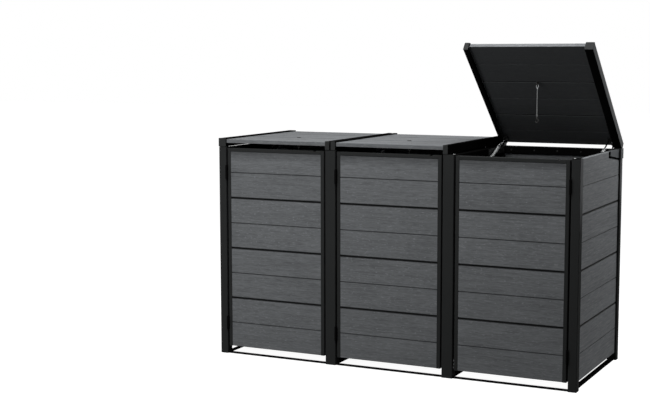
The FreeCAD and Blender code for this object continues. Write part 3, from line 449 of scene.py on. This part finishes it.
def soften(bm, edges, width, segments=2):
    """Round edges off by a width."""
    bmesh.ops.bevel(bm, geom=edges, offset=width, offset_type="OFFSET", segments=segments, profile=0.5,
                    affect="EDGES", material=-1)


def turned(profile, steps=28):
    """A shape turned on a lathe about Z, from the radius and the height of each point of its profile."""
    bm = bmesh.new()
    points = [bm.verts.new((radius, 0, height)) for radius, height in profile]
    edges = [bm.edges.new(pair) for pair in zip(points, points[1:])]
    bmesh.ops.spin(bm, geom=points + edges, cent=(0, 0, 0), axis=(0, 0, 1), angle=2 * math.pi,
                   steps=steps, use_merge=True, use_duplicate=False)
    bmesh.ops.remove_doubles(bm, verts=bm.verts, dist=1e-6)
    bmesh.ops.recalc_face_normals(bm, faces=bm.faces)
    return bm


def hexagon_head(across, height):
    """A hexagon head with a chamfered crown, on its washer."""
    washer_thick = 0.25 * height
    bm = turned([(0, 0), (0.62 * across, 0), (0.66 * across, washer_thick / 2),
                 (0.62 * across, washer_thick), (0, washer_thick)])
    corner = across / math.sqrt(3)
    middle = Matrix.Translation((0, 0, (washer_thick + height) / 2))
    bmesh.ops.create_cone(bm, cap_ends=True, segments=6, radius1=corner, radius2=corner,
                          depth=height - washer_thick, matrix=middle)
    crown = [edge for edge in bm.edges if all(vert.co.z > 0.999 * height for vert in edge.verts)]
    soften(bm, crown, 0.1 * across)
    return bm


def pan_head(radius, height):
    """A pan-head screw with a round socket."""
    bm = turned([(0, 0), (radius, 0), (radius, 0.35 * height), (0.82 * radius, 0.8 * height),
                 (0.55 * radius, height), (0, height)], 24)
    top = [face for face in bm.faces if face.normal.z > 0.99 and face.calc_center_median().z > 0.9 * height]
    bmesh.ops.dissolve_faces(bm, faces=top)
    crown = max(bm.faces, key=lambda face: face.calc_center_median().z)
    bmesh.ops.inset_individual(bm, faces=[crown], thickness=0.2 * radius, depth=0)
    bmesh.ops.inset_individual(bm, faces=[crown], thickness=0.02 * radius, depth=-0.5 * height)
    return bm


def plate(length, width, thick, round_off):
    """A flat plate with rounded corners: length along Z, width along X, thick along Y."""
    bm = bmesh.new()
    bmesh.ops.create_cube(bm, size=1, matrix=Matrix.Diagonal((width, thick, length, 1)))
    corners = [edge for edge in bm.edges
               if abs(edge.verts[0].co.y - edge.verts[1].co.y) > 0.5 * thick]
    soften(bm, corners, round_off, 4)
    rims = [edge for edge in bm.edges if abs(edge.verts[0].co.y - edge.verts[1].co.y) < 1e-7]
    soften(bm, rims, 0.2 * thick)
    return bm


def repeated(shape, stands):
    """One mesh that holds a shape once for each place and way."""
    template = bpy.data.meshes.new("template")
    shape.to_mesh(template)
    shape.free()
    bm = bmesh.new()
    for place, way in stands:
        known = len(bm.verts)
        bm.from_mesh(template)
        bm.verts.ensure_lookup_table()
        set_at(bm, place, way, bm.verts[known:])
    bpy.data.meshes.remove(template)
    return bm


def joined(*shapes):
    """Several shapes in one mesh."""
    bm = bmesh.new()
    for shape in shapes:
        part = bpy.data.meshes.new("part")
        shape.to_mesh(part)
        shape.free()
        bm.from_mesh(part)
        bpy.data.meshes.remove(part)
    return bm


def wire(start, heading, radius, moves, sides=14):
    """A round wire from a place: a move is a vector, or the centre, axis and angle of a bend."""
    bm = bmesh.new()
    bmesh.ops.create_circle(bm, cap_ends=True, segments=sides, radius=radius)
    set_at(bm, start, heading)
    rim = list(bm.edges)
    radians_a_step = 0.22
    for move in moves:
        corners = list({vert for edge in rim for vert in edge.verts})
        if isinstance(move, Vector):
            grown = bmesh.ops.extrude_edge_only(bm, edges=rim)["geom"]
        else:
            centre, axis, turn = move
            grown = bmesh.ops.spin(
                bm, geom=corners + rim, cent=centre, axis=axis, angle=turn,
                steps=max(3, round(abs(turn) / radians_a_step)), use_duplicate=False)["geom_last"]
        ends = {item for item in grown if isinstance(item, bmesh.types.BMVert)}
        if isinstance(move, Vector):
            bmesh.ops.translate(bm, vec=move, verts=list(ends))
        rim = [item for item in grown
               if isinstance(item, bmesh.types.BMEdge) and all(vert in ends for vert in item.verts)]
    bmesh.ops.holes_fill(bm, edges=bm.edges, sides=0)
    bmesh.ops.recalc_face_normals(bm, faces=bm.faces)
    return bm


def placed(name, data):
    """A new object in the scene."""
    made = bpy.data.objects.new(name, data)
    bpy.context.scene.collection.objects.link(made)
    return made


def piece(bm, name, material, body):
    """Make a finished piece of a shape and let it ride on a body."""
    mesh = bpy.data.meshes.new(name)
    bm.to_mesh(mesh)
    bm.free()
    mesh.shade_smooth()
    mesh.set_sharp_from_angle(angle=math.radians(35))
    mesh.materials.append(material)
    made = placed(name, mesh)
    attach(made, body)
    return made


def body_of(node):
    return NODES[node]["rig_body"]


def reach(node, start, way):
    """How far a node reaches from a place along a way."""
    return max((vert.co - start).dot(way) for vert in NODES[node].data.vertices)


class BINSTORE_OT_boards(Operator):
    """Finish the boards of the walls, doors and lids"""
    bl_idname = "binstore.boards"
    bl_label = "Boards"

    def execute(self, context):
        sizes = context.scene.bin_store.boards
        upright = (sizes.first_joint, WALL_JOINTS, sizes.bay_pitch)
        dress(composite_board("composite_board_across", sizes, *upright), "rear_boards")
        # the door boards get a painted shade under their top rail
        doors = composite_board(
            "composite_board_door", sizes, *upright, rail_edge=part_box("door_middle_boards")[1].z)
        dress(doors, "door_{}_boards")
        # a side wall has one bay of boards, and their streaks look longer from the front
        whole_wall = 10
        sides = composite_board(
            "composite_board_side", sizes, sizes.first_joint, WALL_JOINTS, whole_wall,
            turn=(0, 0, -math.pi / 2), stretch=2.4)
        dress(sides, "side_boards_left", "side_boards_right")
        # a lid's boards lie flat, so the way to the back counts as the way across the grain
        lying, raised = (math.pi / 2, 0, 0), (math.pi / 2 + OPEN_TURN, 0, 0)
        lids = (FRONT_FACE + sizes.board_pitch, LID_JOINTS, sizes.bay_pitch)
        lower_face = -(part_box("lid_left_boards")[0].z + 0.001)
        # the lids' undersides get a painted shade, and paler joints as a painted highlight
        flat = composite_board("composite_board_lid", sizes, *lids, turn=lying, underside=lower_face)
        dress(flat, *(f"lid_{bay}_boards" for bay in BAYS if bay != OPEN_BAY))
        back = Euler(lying).to_matrix() @ LID_HINGE - Euler(raised).to_matrix() @ LID_HINGE
        risen = composite_board(
            "composite_board_open_lid", sizes, *lids, turn=raised, shift=back, underside=lower_face)
        dress(risen, f"lid_{OPEN_BAY}_boards")
        return {"FINISHED"}


class BINSTORE_OT_steel(Operator):
    """Finish the frame, the door frames, the lid rails and their caps"""
    bl_idname = "binstore.steel"
    bl_label = "Steel and caps"

    def execute(self, context):
        sizes = context.scene.bin_store.steel
        coat = powder_coat("powder_coat_black", sizes.coat, sizes, 0.6, 0.002, sizes.flank)
        dress(coat, "door_{}_frame", *(name for name in NODES if name.startswith("post_")))
        # painted shade: the matt coat is darker than the posts' coat, for the shaded rails, bars and hinges
        matt = powder_coat("powder_coat_matt", sizes.matt_coat, sizes, 0.75, 0.0, sizes.flank)
        dress(matt, "base_rails", "top_rails", "rear_rails", "lid_{}_rails")
        dress(matt, "door_hinge_pins", "door_{}_hinge_leaves")
        dress(powder_coat("powder_coat_grey", sizes.gusset, sizes, 0.6, 0.03), "corner_gussets")
        dress(moulded_plastic("moulded_cap", sizes.plastic), "lid_{}_rail_caps")
        return {"FINISHED"}


class BINSTORE_OT_fittings(Operator):
    """Finish the hinge plates, brackets, strut tubes and eye bolts"""
    bl_idname = "binstore.fittings"
    bl_label = "Fittings"

    def execute(self, context):
        sizes = context.scene.bin_store.steel
        plates = powder_coat("powder_coat_plates", linear("#121313"), sizes, 0.5, 0.1)
        dress(plates, "lid_hinge_plates", "lid_{}_strut_brackets")
        lacquer = powder_coat("grey_lacquer", linear("#b6b8b8"), sizes, 0.4, 0.3)
        dress(lacquer, "strut_{}_left_tube", "strut_{}_right_tube")
        dress(black_oxide("black_oxide"), "lid_{}_eye_bolt")
        return {"FINISHED"}


class BINSTORE_OT_struts(Operator):
    """Build each strut's rod with its eye, and the gland ring at its tube's mouth"""
    bl_idname = "binstore.struts"
    bl_label = "Struts"

    def execute(self, context):
        sizes = context.scene.bin_store.struts
        chrome = bright_metal("hard_chrome", "#d9dcde", 0.18, 0.0015)
        bright = bright_metal("zinc_gland", "#8b8d8f", 0.5, 0.003)
        cast = moulded_plastic("glass_filled_nylon", linear("#131414"))
        stem, wide, half, rim = sizes.stem_radius, sizes.gland_radius, sizes.eye_width / 2, 0.0012
        bore, outer = sizes.eye_bore, sizes.eye_radius
        soft = 0.15 * stem
        for strut in STRUTS:
            tube, rod = f"strut_{strut}_tube", f"strut_{strut}_rod"
            foot = Vector(JOINT_OF[body_of(tube)]["pos_m"])
            way = Vector(JOINT_OF[body_of(rod)]["axis"])
            mouth = reach(tube, foot, way)
            eye = reach(rod, foot, way) - sizes.eye_radius
            head, tail = eye - 0.013, -reach(rod, foot, -way)
            shaft = turned([(0, tail), (stem - soft, tail), (stem, tail + soft), (stem, head), (0, head)])
            set_at(shaft, foot, way)
            shown = piece(shaft, f"strut_{strut}_shaft", chrome, body_of(rod))
            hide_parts(rod)
            # the eye is moulded with a tapered neck round the rod's end
            ring = turned([
                (bore, rim - half), (bore + rim, -half), (outer - rim, -half), (outer, rim - half),
                (outer, half - rim), (outer - rim, half), (bore + rim, half), (bore, half - rim),
                (bore, rim - half)])
            set_at(ring, foot + way * eye, (1, 0, 0))
            back, front = eye - 0.028, eye - 0.0085
            neck = turned([
                (0, back), (stem + 0.001, back), (stem + 0.0018, back + 0.002),
                (stem + 0.0018, back + 0.012), (stem + 0.0012, back + 0.014), (stem + 0.0016, front),
                (0, front)])
            set_at(neck, foot, way)
            piece(joined(ring, neck), f"strut_{strut}_rod_eye", cast, body_of(rod))
            start = mouth - sizes.gland_length
            gland = turned([
                (wide - 0.0018, start), (wide, start + 0.0012), (wide, mouth - 0.0022),
                (wide - 0.0008, mouth - 0.0006), (wide - 0.0024, mouth + 0.0003),
                (stem + 0.0016, mouth + 0.0003), (stem + 0.0004, mouth - 0.0004), (stem + 0.0004, start),
                (wide - 0.0018, start)])
            set_at(gland, foot, way)
            piece(gland, f"strut_{strut}_gland_ring", bright, body_of(tube))
        return {"FINISHED"}


class BINSTORE_OT_fasteners(Operator):
    """Set the bolts, screws and keepers"""
    bl_idname = "binstore.fasteners"
    bl_label = "Fasteners"

    def execute(self, context):
        sizes = context.scene.bin_store.steel
        black = black_oxide("black_fasteners")
        zinc = bright_metal("bright_zinc", "#8f9294", 0.4, 0.003)
        # painted shade: the keepers take the darker coat of the shaded parts
        matt = powder_coat("powder_coat_keeper", sizes.matt_coat, sizes, 0.6, 0.05)
        self.plate_bolts(sizes, black)
        self.board_screws(sizes, black)
        self.hinge_screws(black)
        self.keepers(sizes, matt, zinc)
        return {"FINISHED"}

    def plate_bolts(self, sizes, material):
        """Three bolts hold each hinge plate, and a nut sits on each pivot bolt's head."""
        plate_face, pivot_face = 0.003, 0.008
        holes = {plate_face: [(-0.273, -0.040), (-0.125, -0.050), (-0.045, -0.046)], pivot_face: [(0, 0)]}
        stands = []
        for bay in BAYS:
            for side in SIDES:
                for face, spots in holes.items():
                    x = BAY_CENTRE[bay] + side * (BAY_HALF - face)
                    places = [(x, LID_HINGE.y + back, LID_HINGE.z + up) for back, up in spots]
                    stands += [(place, (-side, 0, 0)) for place in places]
        heads = repeated(hexagon_head(sizes.hex_across, sizes.hex_height), stands)
        piece(heads, "hinge_plate_bolts", material, "frame")

    def board_screws(self, sizes, material):
        """Rows of screws through the rear rails and through each door's back bar."""
        rails_low, rails_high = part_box("rear_rails")
        rail_y = rails_low.y
        foot_rail, top_rail = rails_low.z + 0.015, rails_high.z - 0.020
        back_bar_y, back_bar_z = FRONT_FACE + 0.028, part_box("door_middle_boards")[0].z + 0.015
        rail_stands = []
        for bay in BAYS:
            steps = [BAY_CENTRE[bay] + BAY_HALF * share for share in (-0.86, -0.43, 0, 0.43, 0.86)]
            rail_stands += [((x, rail_y, z), (0, -1, 0)) for x in steps for z in (foot_rail, top_rail)]
            door = repeated(pan_head(sizes.screw_radius, sizes.screw_height),
                            [((x, back_bar_y, back_bar_z), (0, 1, 0)) for x in steps])
            piece(door, f"door_{bay}_board_screws", material, f"door_{bay}")
        rails = repeated(pan_head(sizes.screw_radius, sizes.screw_height), rail_stands)
        piece(rails, "rear_board_screws", material, "frame")

    def hinge_screws(self, material):
        """Two flat screws in each hinge leaf, on the post and on the door."""
        leaf, half_hinge, spot, before_back = 0.0025, 0.0375, 0.025, 0.010
        head = (0.0042, 0.0009)
        fixed = []
        for bay in BAYS:
            low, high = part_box(f"door_{bay}_hinge_leaves")
            side = -LATCH_SIDE[bay]
            edge = BAY_CENTRE[bay] + side * BAY_HALF
            y = high.y - before_back
            hinges = (low.z + half_hinge, high.z - half_hinge)
            heights = [middle + way * spot for middle in hinges for way in (-1, 1)]
            fixed += [((edge - side * leaf, y, z), (-side, 0, 0)) for z in heights]
            moving = [((edge - side * (DOOR_GAP - leaf), y, z), (side, 0, 0)) for z in heights]
            piece(repeated(pan_head(*head), moving), f"door_{bay}_hinge_screws", material,
                  f"door_{bay}")
        piece(repeated(pan_head(*head), fixed), "post_hinge_screws", material, "frame")

    def keepers(self, sizes, plate_finish, screw_finish):
        """A keeper plate with three screws low on each latch-side post, where the door shuts against it."""
        length, width, thick, round_off = 0.056, 0.022, 0.0016, 0.003
        heights = [0.0945, 0.0765, 0.0600]
        y = FRONT_FACE + 0.019
        plates, screws = [], []
        for bay in BAYS:
            side = LATCH_SIDE[bay]
            x = BAY_CENTRE[bay] + side * BAY_HALF
            middle = Matrix.Translation((x - side * thick / 2, y, heights[1]))
            plates.append(moved(plate(length, width, thick, round_off), middle @ ACROSS))
            screws += [((x - side * thick, y - 0.003, z), (-side, 0, 0)) for z in heights]
        piece(joined(*plates), "latch_keepers", plate_finish, "frame")
        heads = repeated(pan_head(sizes.screw_radius, sizes.screw_height), screws)
        piece(heads, "latch_keeper_screws", screw_finish, "frame")


class BINSTORE_OT_rubber(Operator):
    """Set the black seals, trims and strips that paint shade in seams and gaps, and the rest buffers"""
    bl_idname = "binstore.rubber"
    bl_label = "Rubber"

    def execute(self, context):
        # painted shade: near-black pieces stand in for the shade in the seams on the post heads, round the
        # corner plates and beside each lid's left rail
        shade_sheet = moulded_plastic("black_rubber", linear("#050505"), 0.0)
        self.head_seals(shade_sheet)
        self.corner_trims(shade_sheet)
        self.lid_strips(shade_sheet)
        buttons = moulded_plastic("grey_rubber", linear("#b4b5b5"))
        self.rest_buffers(context.scene.bin_store.steel.buffer_radius, buttons)
        return {"FINISHED"}

    def head_seals(self, material):
        """Flat black seals on the front posts' heads, under the rails of the closed lids, as painted shade
        in the seam between rail and post.
        """
        thick, depth, inset, round_off = 0.0014, 0.046, 0.002, 0.003
        seals = []
        for post in (name for name in NODES if name.startswith("post_front_")):
            low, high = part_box(post)
            middle = Matrix.Translation(((low.x + high.x) / 2, (low.y + high.y) / 2, POST_HEAD + thick / 2))
            shade_sheet = plate(depth, high.x - low.x - 2 * inset, thick, round_off)
            seals.append(moved(shade_sheet, middle @ FLAT))
        piece(joined(*seals), "post_head_seals", material, "frame")

    def corner_trims(self, material):
        """A black rubber trim along the front and lower edge of each corner plate in the side walls, as a
        painted shadow gap round the plate.
        """
        thick, upright, below, over, soft = 0.0015, 0.036, 0.006, 0.003, 0.0005
        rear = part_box("post_rear_right")[0].y
        wall_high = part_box("side_boards_right")[1]
        top, front, front_drop, rear_drop = wall_high.z, rear - 0.184, 0.0275, 0.0525
        outline = [
            (front - upright, top), (front - upright, top - front_drop - below),
            (rear, top - rear_drop - below), (rear, top - rear_drop + over),
            (front, top - front_drop + over), (front, top)]
        trims = []
        for side in SIDES:
            trim = bmesh.new()
            face = trim.faces.new([trim.verts.new((side * (wall_high.x - soft), y, z)) for y, z in outline])
            grown = bmesh.ops.extrude_face_region(trim, geom=[face])["geom"]
            fresh = [item for item in grown if isinstance(item, bmesh.types.BMVert)]
            bmesh.ops.translate(trim, vec=(side * thick, 0, 0), verts=fresh)
            outer = [edge for edge in trim.edges
                     if all(abs(vert.co.x) > wall_high.x + thick / 3 for vert in edge.verts)]
            soften(trim, outer, soft)
            bmesh.ops.recalc_face_normals(trim, faces=trim.faces)
            trims.append(trim)
        piece(joined(*trims), "corner_plate_trims", material, "frame")

    def lid_strips(self, material):
        """A black strip along each lid's left rail, on the boards and down their front edge, as painted
        shade where the rail meets the boards.
        """
        width, height, thin, before_hinge = 0.006, 0.0045, 0.0015, 0.026
        low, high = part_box("lid_left_boards")
        length = LID_HINGE.y - before_hinge - low.y + thin
        for bay in BAYS:
            x = BAY_CENTRE[bay] - (high.x - low.x) / 2 + width / 2
            on_top = Matrix.Translation((x, low.y - thin + length / 2, high.z + height / 2))
            top = moved(plate(length, width, height, 0.0015), on_top @ FLAT)
            in_front = Matrix.Translation((x, low.y - thin / 2, (low.z + high.z) / 2))
            front = moved(plate(high.z - low.z, width, thin, 0.0004), in_front)
            strip = joined(top, front)
            if bay == OPEN_BAY:
                raised = Matrix.Rotation(-OPEN_TURN, 3, "X")
                bmesh.ops.rotate(strip, cent=LID_HINGE, matrix=raised, verts=strip.verts)
            piece(strip, f"lid_{bay}_shade_strip", material, body_of(f"lid_{bay}_rails"))

    def rest_buffers(self, wide, material):
        """Rubber buttons on the front posts' heads, which the lid rails come to rest on."""
        tall, beyond, back = 0.0028, 0.008, 0.025
        button = turned([
            (0, 0), (wide, 0), (wide, 0.3 * tall), (0.86 * wide, 0.8 * tall), (0.6 * wide, tall),
            (0.25 * wide, tall), (0.18 * wide, 0.8 * tall), (0, 0.8 * tall)], 24)
        across = [BAY_CENTRE[bay] + side * (BAY_HALF + beyond) for bay in BAYS for side in SIDES]
        stands = [((x, FRONT_FACE + back, POST_HEAD), (0, 0, 1)) for x in across]
        piece(repeated(button, stands), "lid_rest_buffers", material, "frame")


class BINSTORE_OT_pull_lines(Operator):
    """Hang a braided line under each lid, between its link and its snap hook"""
    bl_idname = "binstore.pull_lines"
    bl_label = "Pull lines"

    def execute(self, context):
        sizes = context.scene.bin_store.lines
        yarn = braided_polyester("braided_polyester", sizes.colour, sizes.strand)
        alloy = bright_metal("crimped_alloy", "#8e9091", 0.5, 0.002)
        black = black_oxide("black_snap_hook")
        stops = 5
        for bay in BAYS:
            low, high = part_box(f"pull_cord_{bay}")
            middle = (low + high) / 2
            top = Vector((middle.x, middle.y, high.z))
            foot = Vector((middle.x, middle.y, low.z))
            hook = self.snap_hook(sizes, foot, f"pull_hook_{bay}", f"snap_hook_{bay}", black, f"pull_{bay}")
            link = self.link(top, f"pull_link_{bay}", alloy, f"pull_{bay}")
            curve = bpy.data.curves.new(f"pull_line_{bay}", "CURVE")
            curve.dimensions = "3D"
            curve.bevel_depth = sizes.diameter / 2
            curve.bevel_resolution = 5
            curve.use_fill_caps = True
            spline = curve.splines.new("NURBS")
            spline.points.add(stops - 1)
            for number, point in enumerate(spline.points):
                point.co = (*top.lerp(foot, number / (stops - 1)), 1)
            spline.order_u = 3
            spline.use_endpoint_u = True
            curve.materials.append(yarn)
            line = placed(f"pull_line_{bay}", curve)
            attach(line, f"pull_{bay}")
            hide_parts(f"pull_cord_{bay}")
        return {"FINISHED"}

    def link(self, top, name, material, body):
        """The oval link through the eye bolt's ring, and the crimped ferrule under it."""
        wire_radius, bend, straight, rise, sunk = 0.0017, 0.0058, 0.0045, 0.015, 0.0015
        centre = top + Vector((0, 0, rise))
        side = Vector((0, 0, straight))
        turn = ((0, -1, 0), math.pi)
        oval = wire(centre + Vector((bend, 0, -straight / 2)), (0, 0, 1), wire_radius, [
            side, (centre + side / 2, *turn), -side, (centre - side / 2, *turn)])
        ferrule = turned([
            (0, 0), (0.0030, 0), (0.0040, 0.0010), (0.0045, 0.0030), (0.0040, 0.0045), (0.0045, 0.0060),
            (0.0040, 0.0080), (0.0030, 0.0090), (0, 0.0090)])
        set_at(ferrule, top - Vector((0, 0, sunk)), (0, 0, 1))
        return piece(joined(oval, ferrule), name, material, body)

    def snap_hook(self, sizes, foot, node, name, material, body):
        """A swivel barrel over a bent wire hook, closed by a sprung gate."""
        radius, thick, gate_wire, opening = sizes.hook_radius, sizes.hook_wire, 0.0012, math.radians(250)
        barrel_length = 0.014
        barrel = turned([
            (0, 0.001), (0.0026, 0.001), (0.0034, 0), (0.0045, -0.002), (0.0045, -0.006),
            (0.0036, -0.007), (0.0036, -0.008), (0.0045, -0.009), (0.0045, -0.012),
            (0.0036, -barrel_length), (0, -barrel_length)])
        set_at(barrel, foot, (0, 0, 1))
        centre = foot - Vector((0, 0, barrel_length + radius - 0.001))
        start = centre + Vector((0, 0, radius))
        bend = wire(start, (1, 0, 0), thick, [(centre, (0, 1, 0), opening)])
        tip = centre + Vector((math.sin(opening), 0, math.cos(opening))) * radius
        root = foot - Vector((0.0030, 0, barrel_length - 0.002))
        gate = wire(root, tip - root, gate_wire, [(tip - root) * 1.04], 10)
        made = piece(joined(barrel, bend, gate), name, material, body)
        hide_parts(node)
        return made


def make_lamp(name, place, aim, width, depth, power):
    """A soft box that looks at a point."""
    data = bpy.data.lights.new(name, "AREA")
    data.shape = "RECTANGLE"
    data.size = width
    data.size_y = depth
    data.energy = power
    lamp = placed(name, data)
    lamp.location = place
    lamp.rotation_euler = (Vector(aim) - Vector(place)).to_track_quat("-Z", "Y").to_euler()


def seen_directly(tree):
    """1 for rays from the camera and for those that a glossy or clear surface sends on."""
    path = add(tree, "LightPath").outputs
    first = add(tree, "Math", {
        0: path["Is Camera Ray"], 1: path["Is Glossy Ray"]}, operation="MAXIMUM")
    return add(tree, "Math", {0: first, 1: path["Is Transmission Ray"]}, operation="MAXIMUM")


def make_world(fill):
    """White where it is seen, and a soft even fill for everything else."""
    world = bpy.data.worlds.new("studio")
    world.use_nodes = True
    tree = world.node_tree
    tree.nodes.clear()
    white = add(tree, "Background", {"Color": (1, 1, 1, 1), "Strength": 1.0})
    dim = add(tree, "Background", {"Color": (1, 1, 1, 1), "Strength": fill})
    both = add(tree, "MixShader", {0: seen_directly(tree), 1: dim, 2: white})
    add(tree, "OutputWorld", {"Surface": both})
    bpy.context.scene.world = world


def make_floor():
    """A white studio floor that keeps a faint shadow and throws little light back."""
    bm = bmesh.new()
    bmesh.ops.create_grid(bm, x_segments=1, y_segments=1, size=30)
    mesh = bpy.data.meshes.new("studio_floor")
    bm.to_mesh(mesh)
    bm.free()
    material, tree, place = new_material("studio_floor")
    away = add(tree, "VectorMath", {0: place}, operation="LENGTH")
    # away from the object the floor grows as white as the background
    strength = add(tree, "MapRange", {
        "Value": away, "From Min": 1.5, "From Max": 3.5, "To Min": 0.95, "To Max": 1.0})
    bounce = add(tree, "BsdfDiffuse", {"Color": (0.03, 0.03, 0.03, 1)})
    paint = add(tree, "BsdfDiffuse", {"Color": (0.25, 0.25, 0.25, 1)})
    glow = add(tree, "Emission", {"Color": (1, 1, 1, 1), "Strength": strength})
    pale = add(tree, "AddShader", {0: paint, 1: glow})
    both = add(tree, "MixShader", {0: seen_directly(tree), 1: bounce, 2: pale})
    add(tree, "OutputMaterial", {"Surface": both})
    mesh.materials.append(material)
    placed("studio_floor", mesh)


def make_camera(sizes):
    """The camera that fits the edges of the photographed store."""
    data = bpy.data.cameras.new("camera")
    data.lens = sizes.lens
    data.sensor_width = 36
    data.clip_end = 200
    camera = placed("camera", data)
    camera.location = (sizes.camera_x, FRONT_FACE - sizes.camera_forward, sizes.camera_height)
    turn = Euler((math.pi / 2 - sizes.camera_dip, 0, sizes.camera_turn)).to_matrix()
    camera.rotation_euler = (turn @ Matrix.Rotation(sizes.camera_roll, 3, "Z")).to_euler()
    bpy.context.scene.camera = camera


class BINSTORE_OT_stage(Operator):
    """Set up the floor, the background, the lamps and the camera"""
    bl_idname = "binstore.stage"
    bl_label = "Stage"

    def execute(self, context):
        make_floor()
        make_world(0.06)
        make_lamp("overhead_box", (0, 0, 3.6), (0, 0, 0), 4.0, 4.0, 42)
        make_lamp("front_box", (0, -2.2, 3.2), (0, -0.3, 0.6), 3.0, 2.0, 75)
        make_lamp("left_box", (-3.8, -0.7, 2.6), (0, 0, 0.8), 1.8, 1.8, 72)
        make_lamp("right_box", (2.3, 2.0, 2.9), (0.95, 0, 0.9), 1.6, 1.6, 108)
        make_lamp("low_box", (-1.8, -3.0, 0.7), (-0.5, -0.4, 0.55), 1.4, 1.0, 30)
        raised_edge = (BAY_CENTRE[OPEN_BAY], -0.23, 1.72)
        make_lamp("lid_edge_box", (BAY_CENTRE[OPEN_BAY], -0.40, 2.12), raised_edge, 0.7, 0.15, 3.3)
        make_camera(context.scene.bin_store.stage)
        context.scene.view_settings.view_transform = "Standard"
        return {"FINISHED"}


class BINSTORE_PT_panel(Panel):
    """Sidebar panel with one button for each step"""
    bl_label = "Bin Store"
    bl_idname = "BINSTORE_PT_panel"
    bl_space_type = "VIEW_3D"
    bl_region_type = "UI"
    bl_category = "Bin Store"

    def draw(self, context):
        for step in STEPS:
            self.layout.operator(step.bl_idname)


STEPS = (
    BINSTORE_OT_boards,
    BINSTORE_OT_steel,
    BINSTORE_OT_fittings,
    BINSTORE_OT_struts,
    BINSTORE_OT_fasteners,
    BINSTORE_OT_rubber,
    BINSTORE_OT_pull_lines,
    BINSTORE_OT_stage,
)
CLASSES = (
    BoardSizes, SteelSizes, StrutSizes, LineSizes, StageSizes, StoreSettings, *STEPS, BINSTORE_PT_panel)


def register():
    for item in CLASSES:
        bpy.utils.register_class(item)
    bpy.types.Scene.bin_store = PointerProperty(type=StoreSettings)


def unregister():
    del bpy.types.Scene.bin_store
    for item in reversed(CLASSES):
        bpy.utils.unregister_class(item)


def main():
    register()
    for leftover in [item for item in bpy.context.scene.objects if item.type in ("CAMERA", "LIGHT")]:
        bpy.data.objects.remove(leftover)
    bpy.ops.binstore.boards()
    bpy.ops.binstore.steel()
    bpy.ops.binstore.fittings()
    bpy.ops.binstore.struts()
    bpy.ops.binstore.fasteners()
    bpy.ops.binstore.rubber()
    bpy.ops.binstore.pull_lines()
    bpy.ops.binstore.stage()


if __name__ == "__main__":
    main()
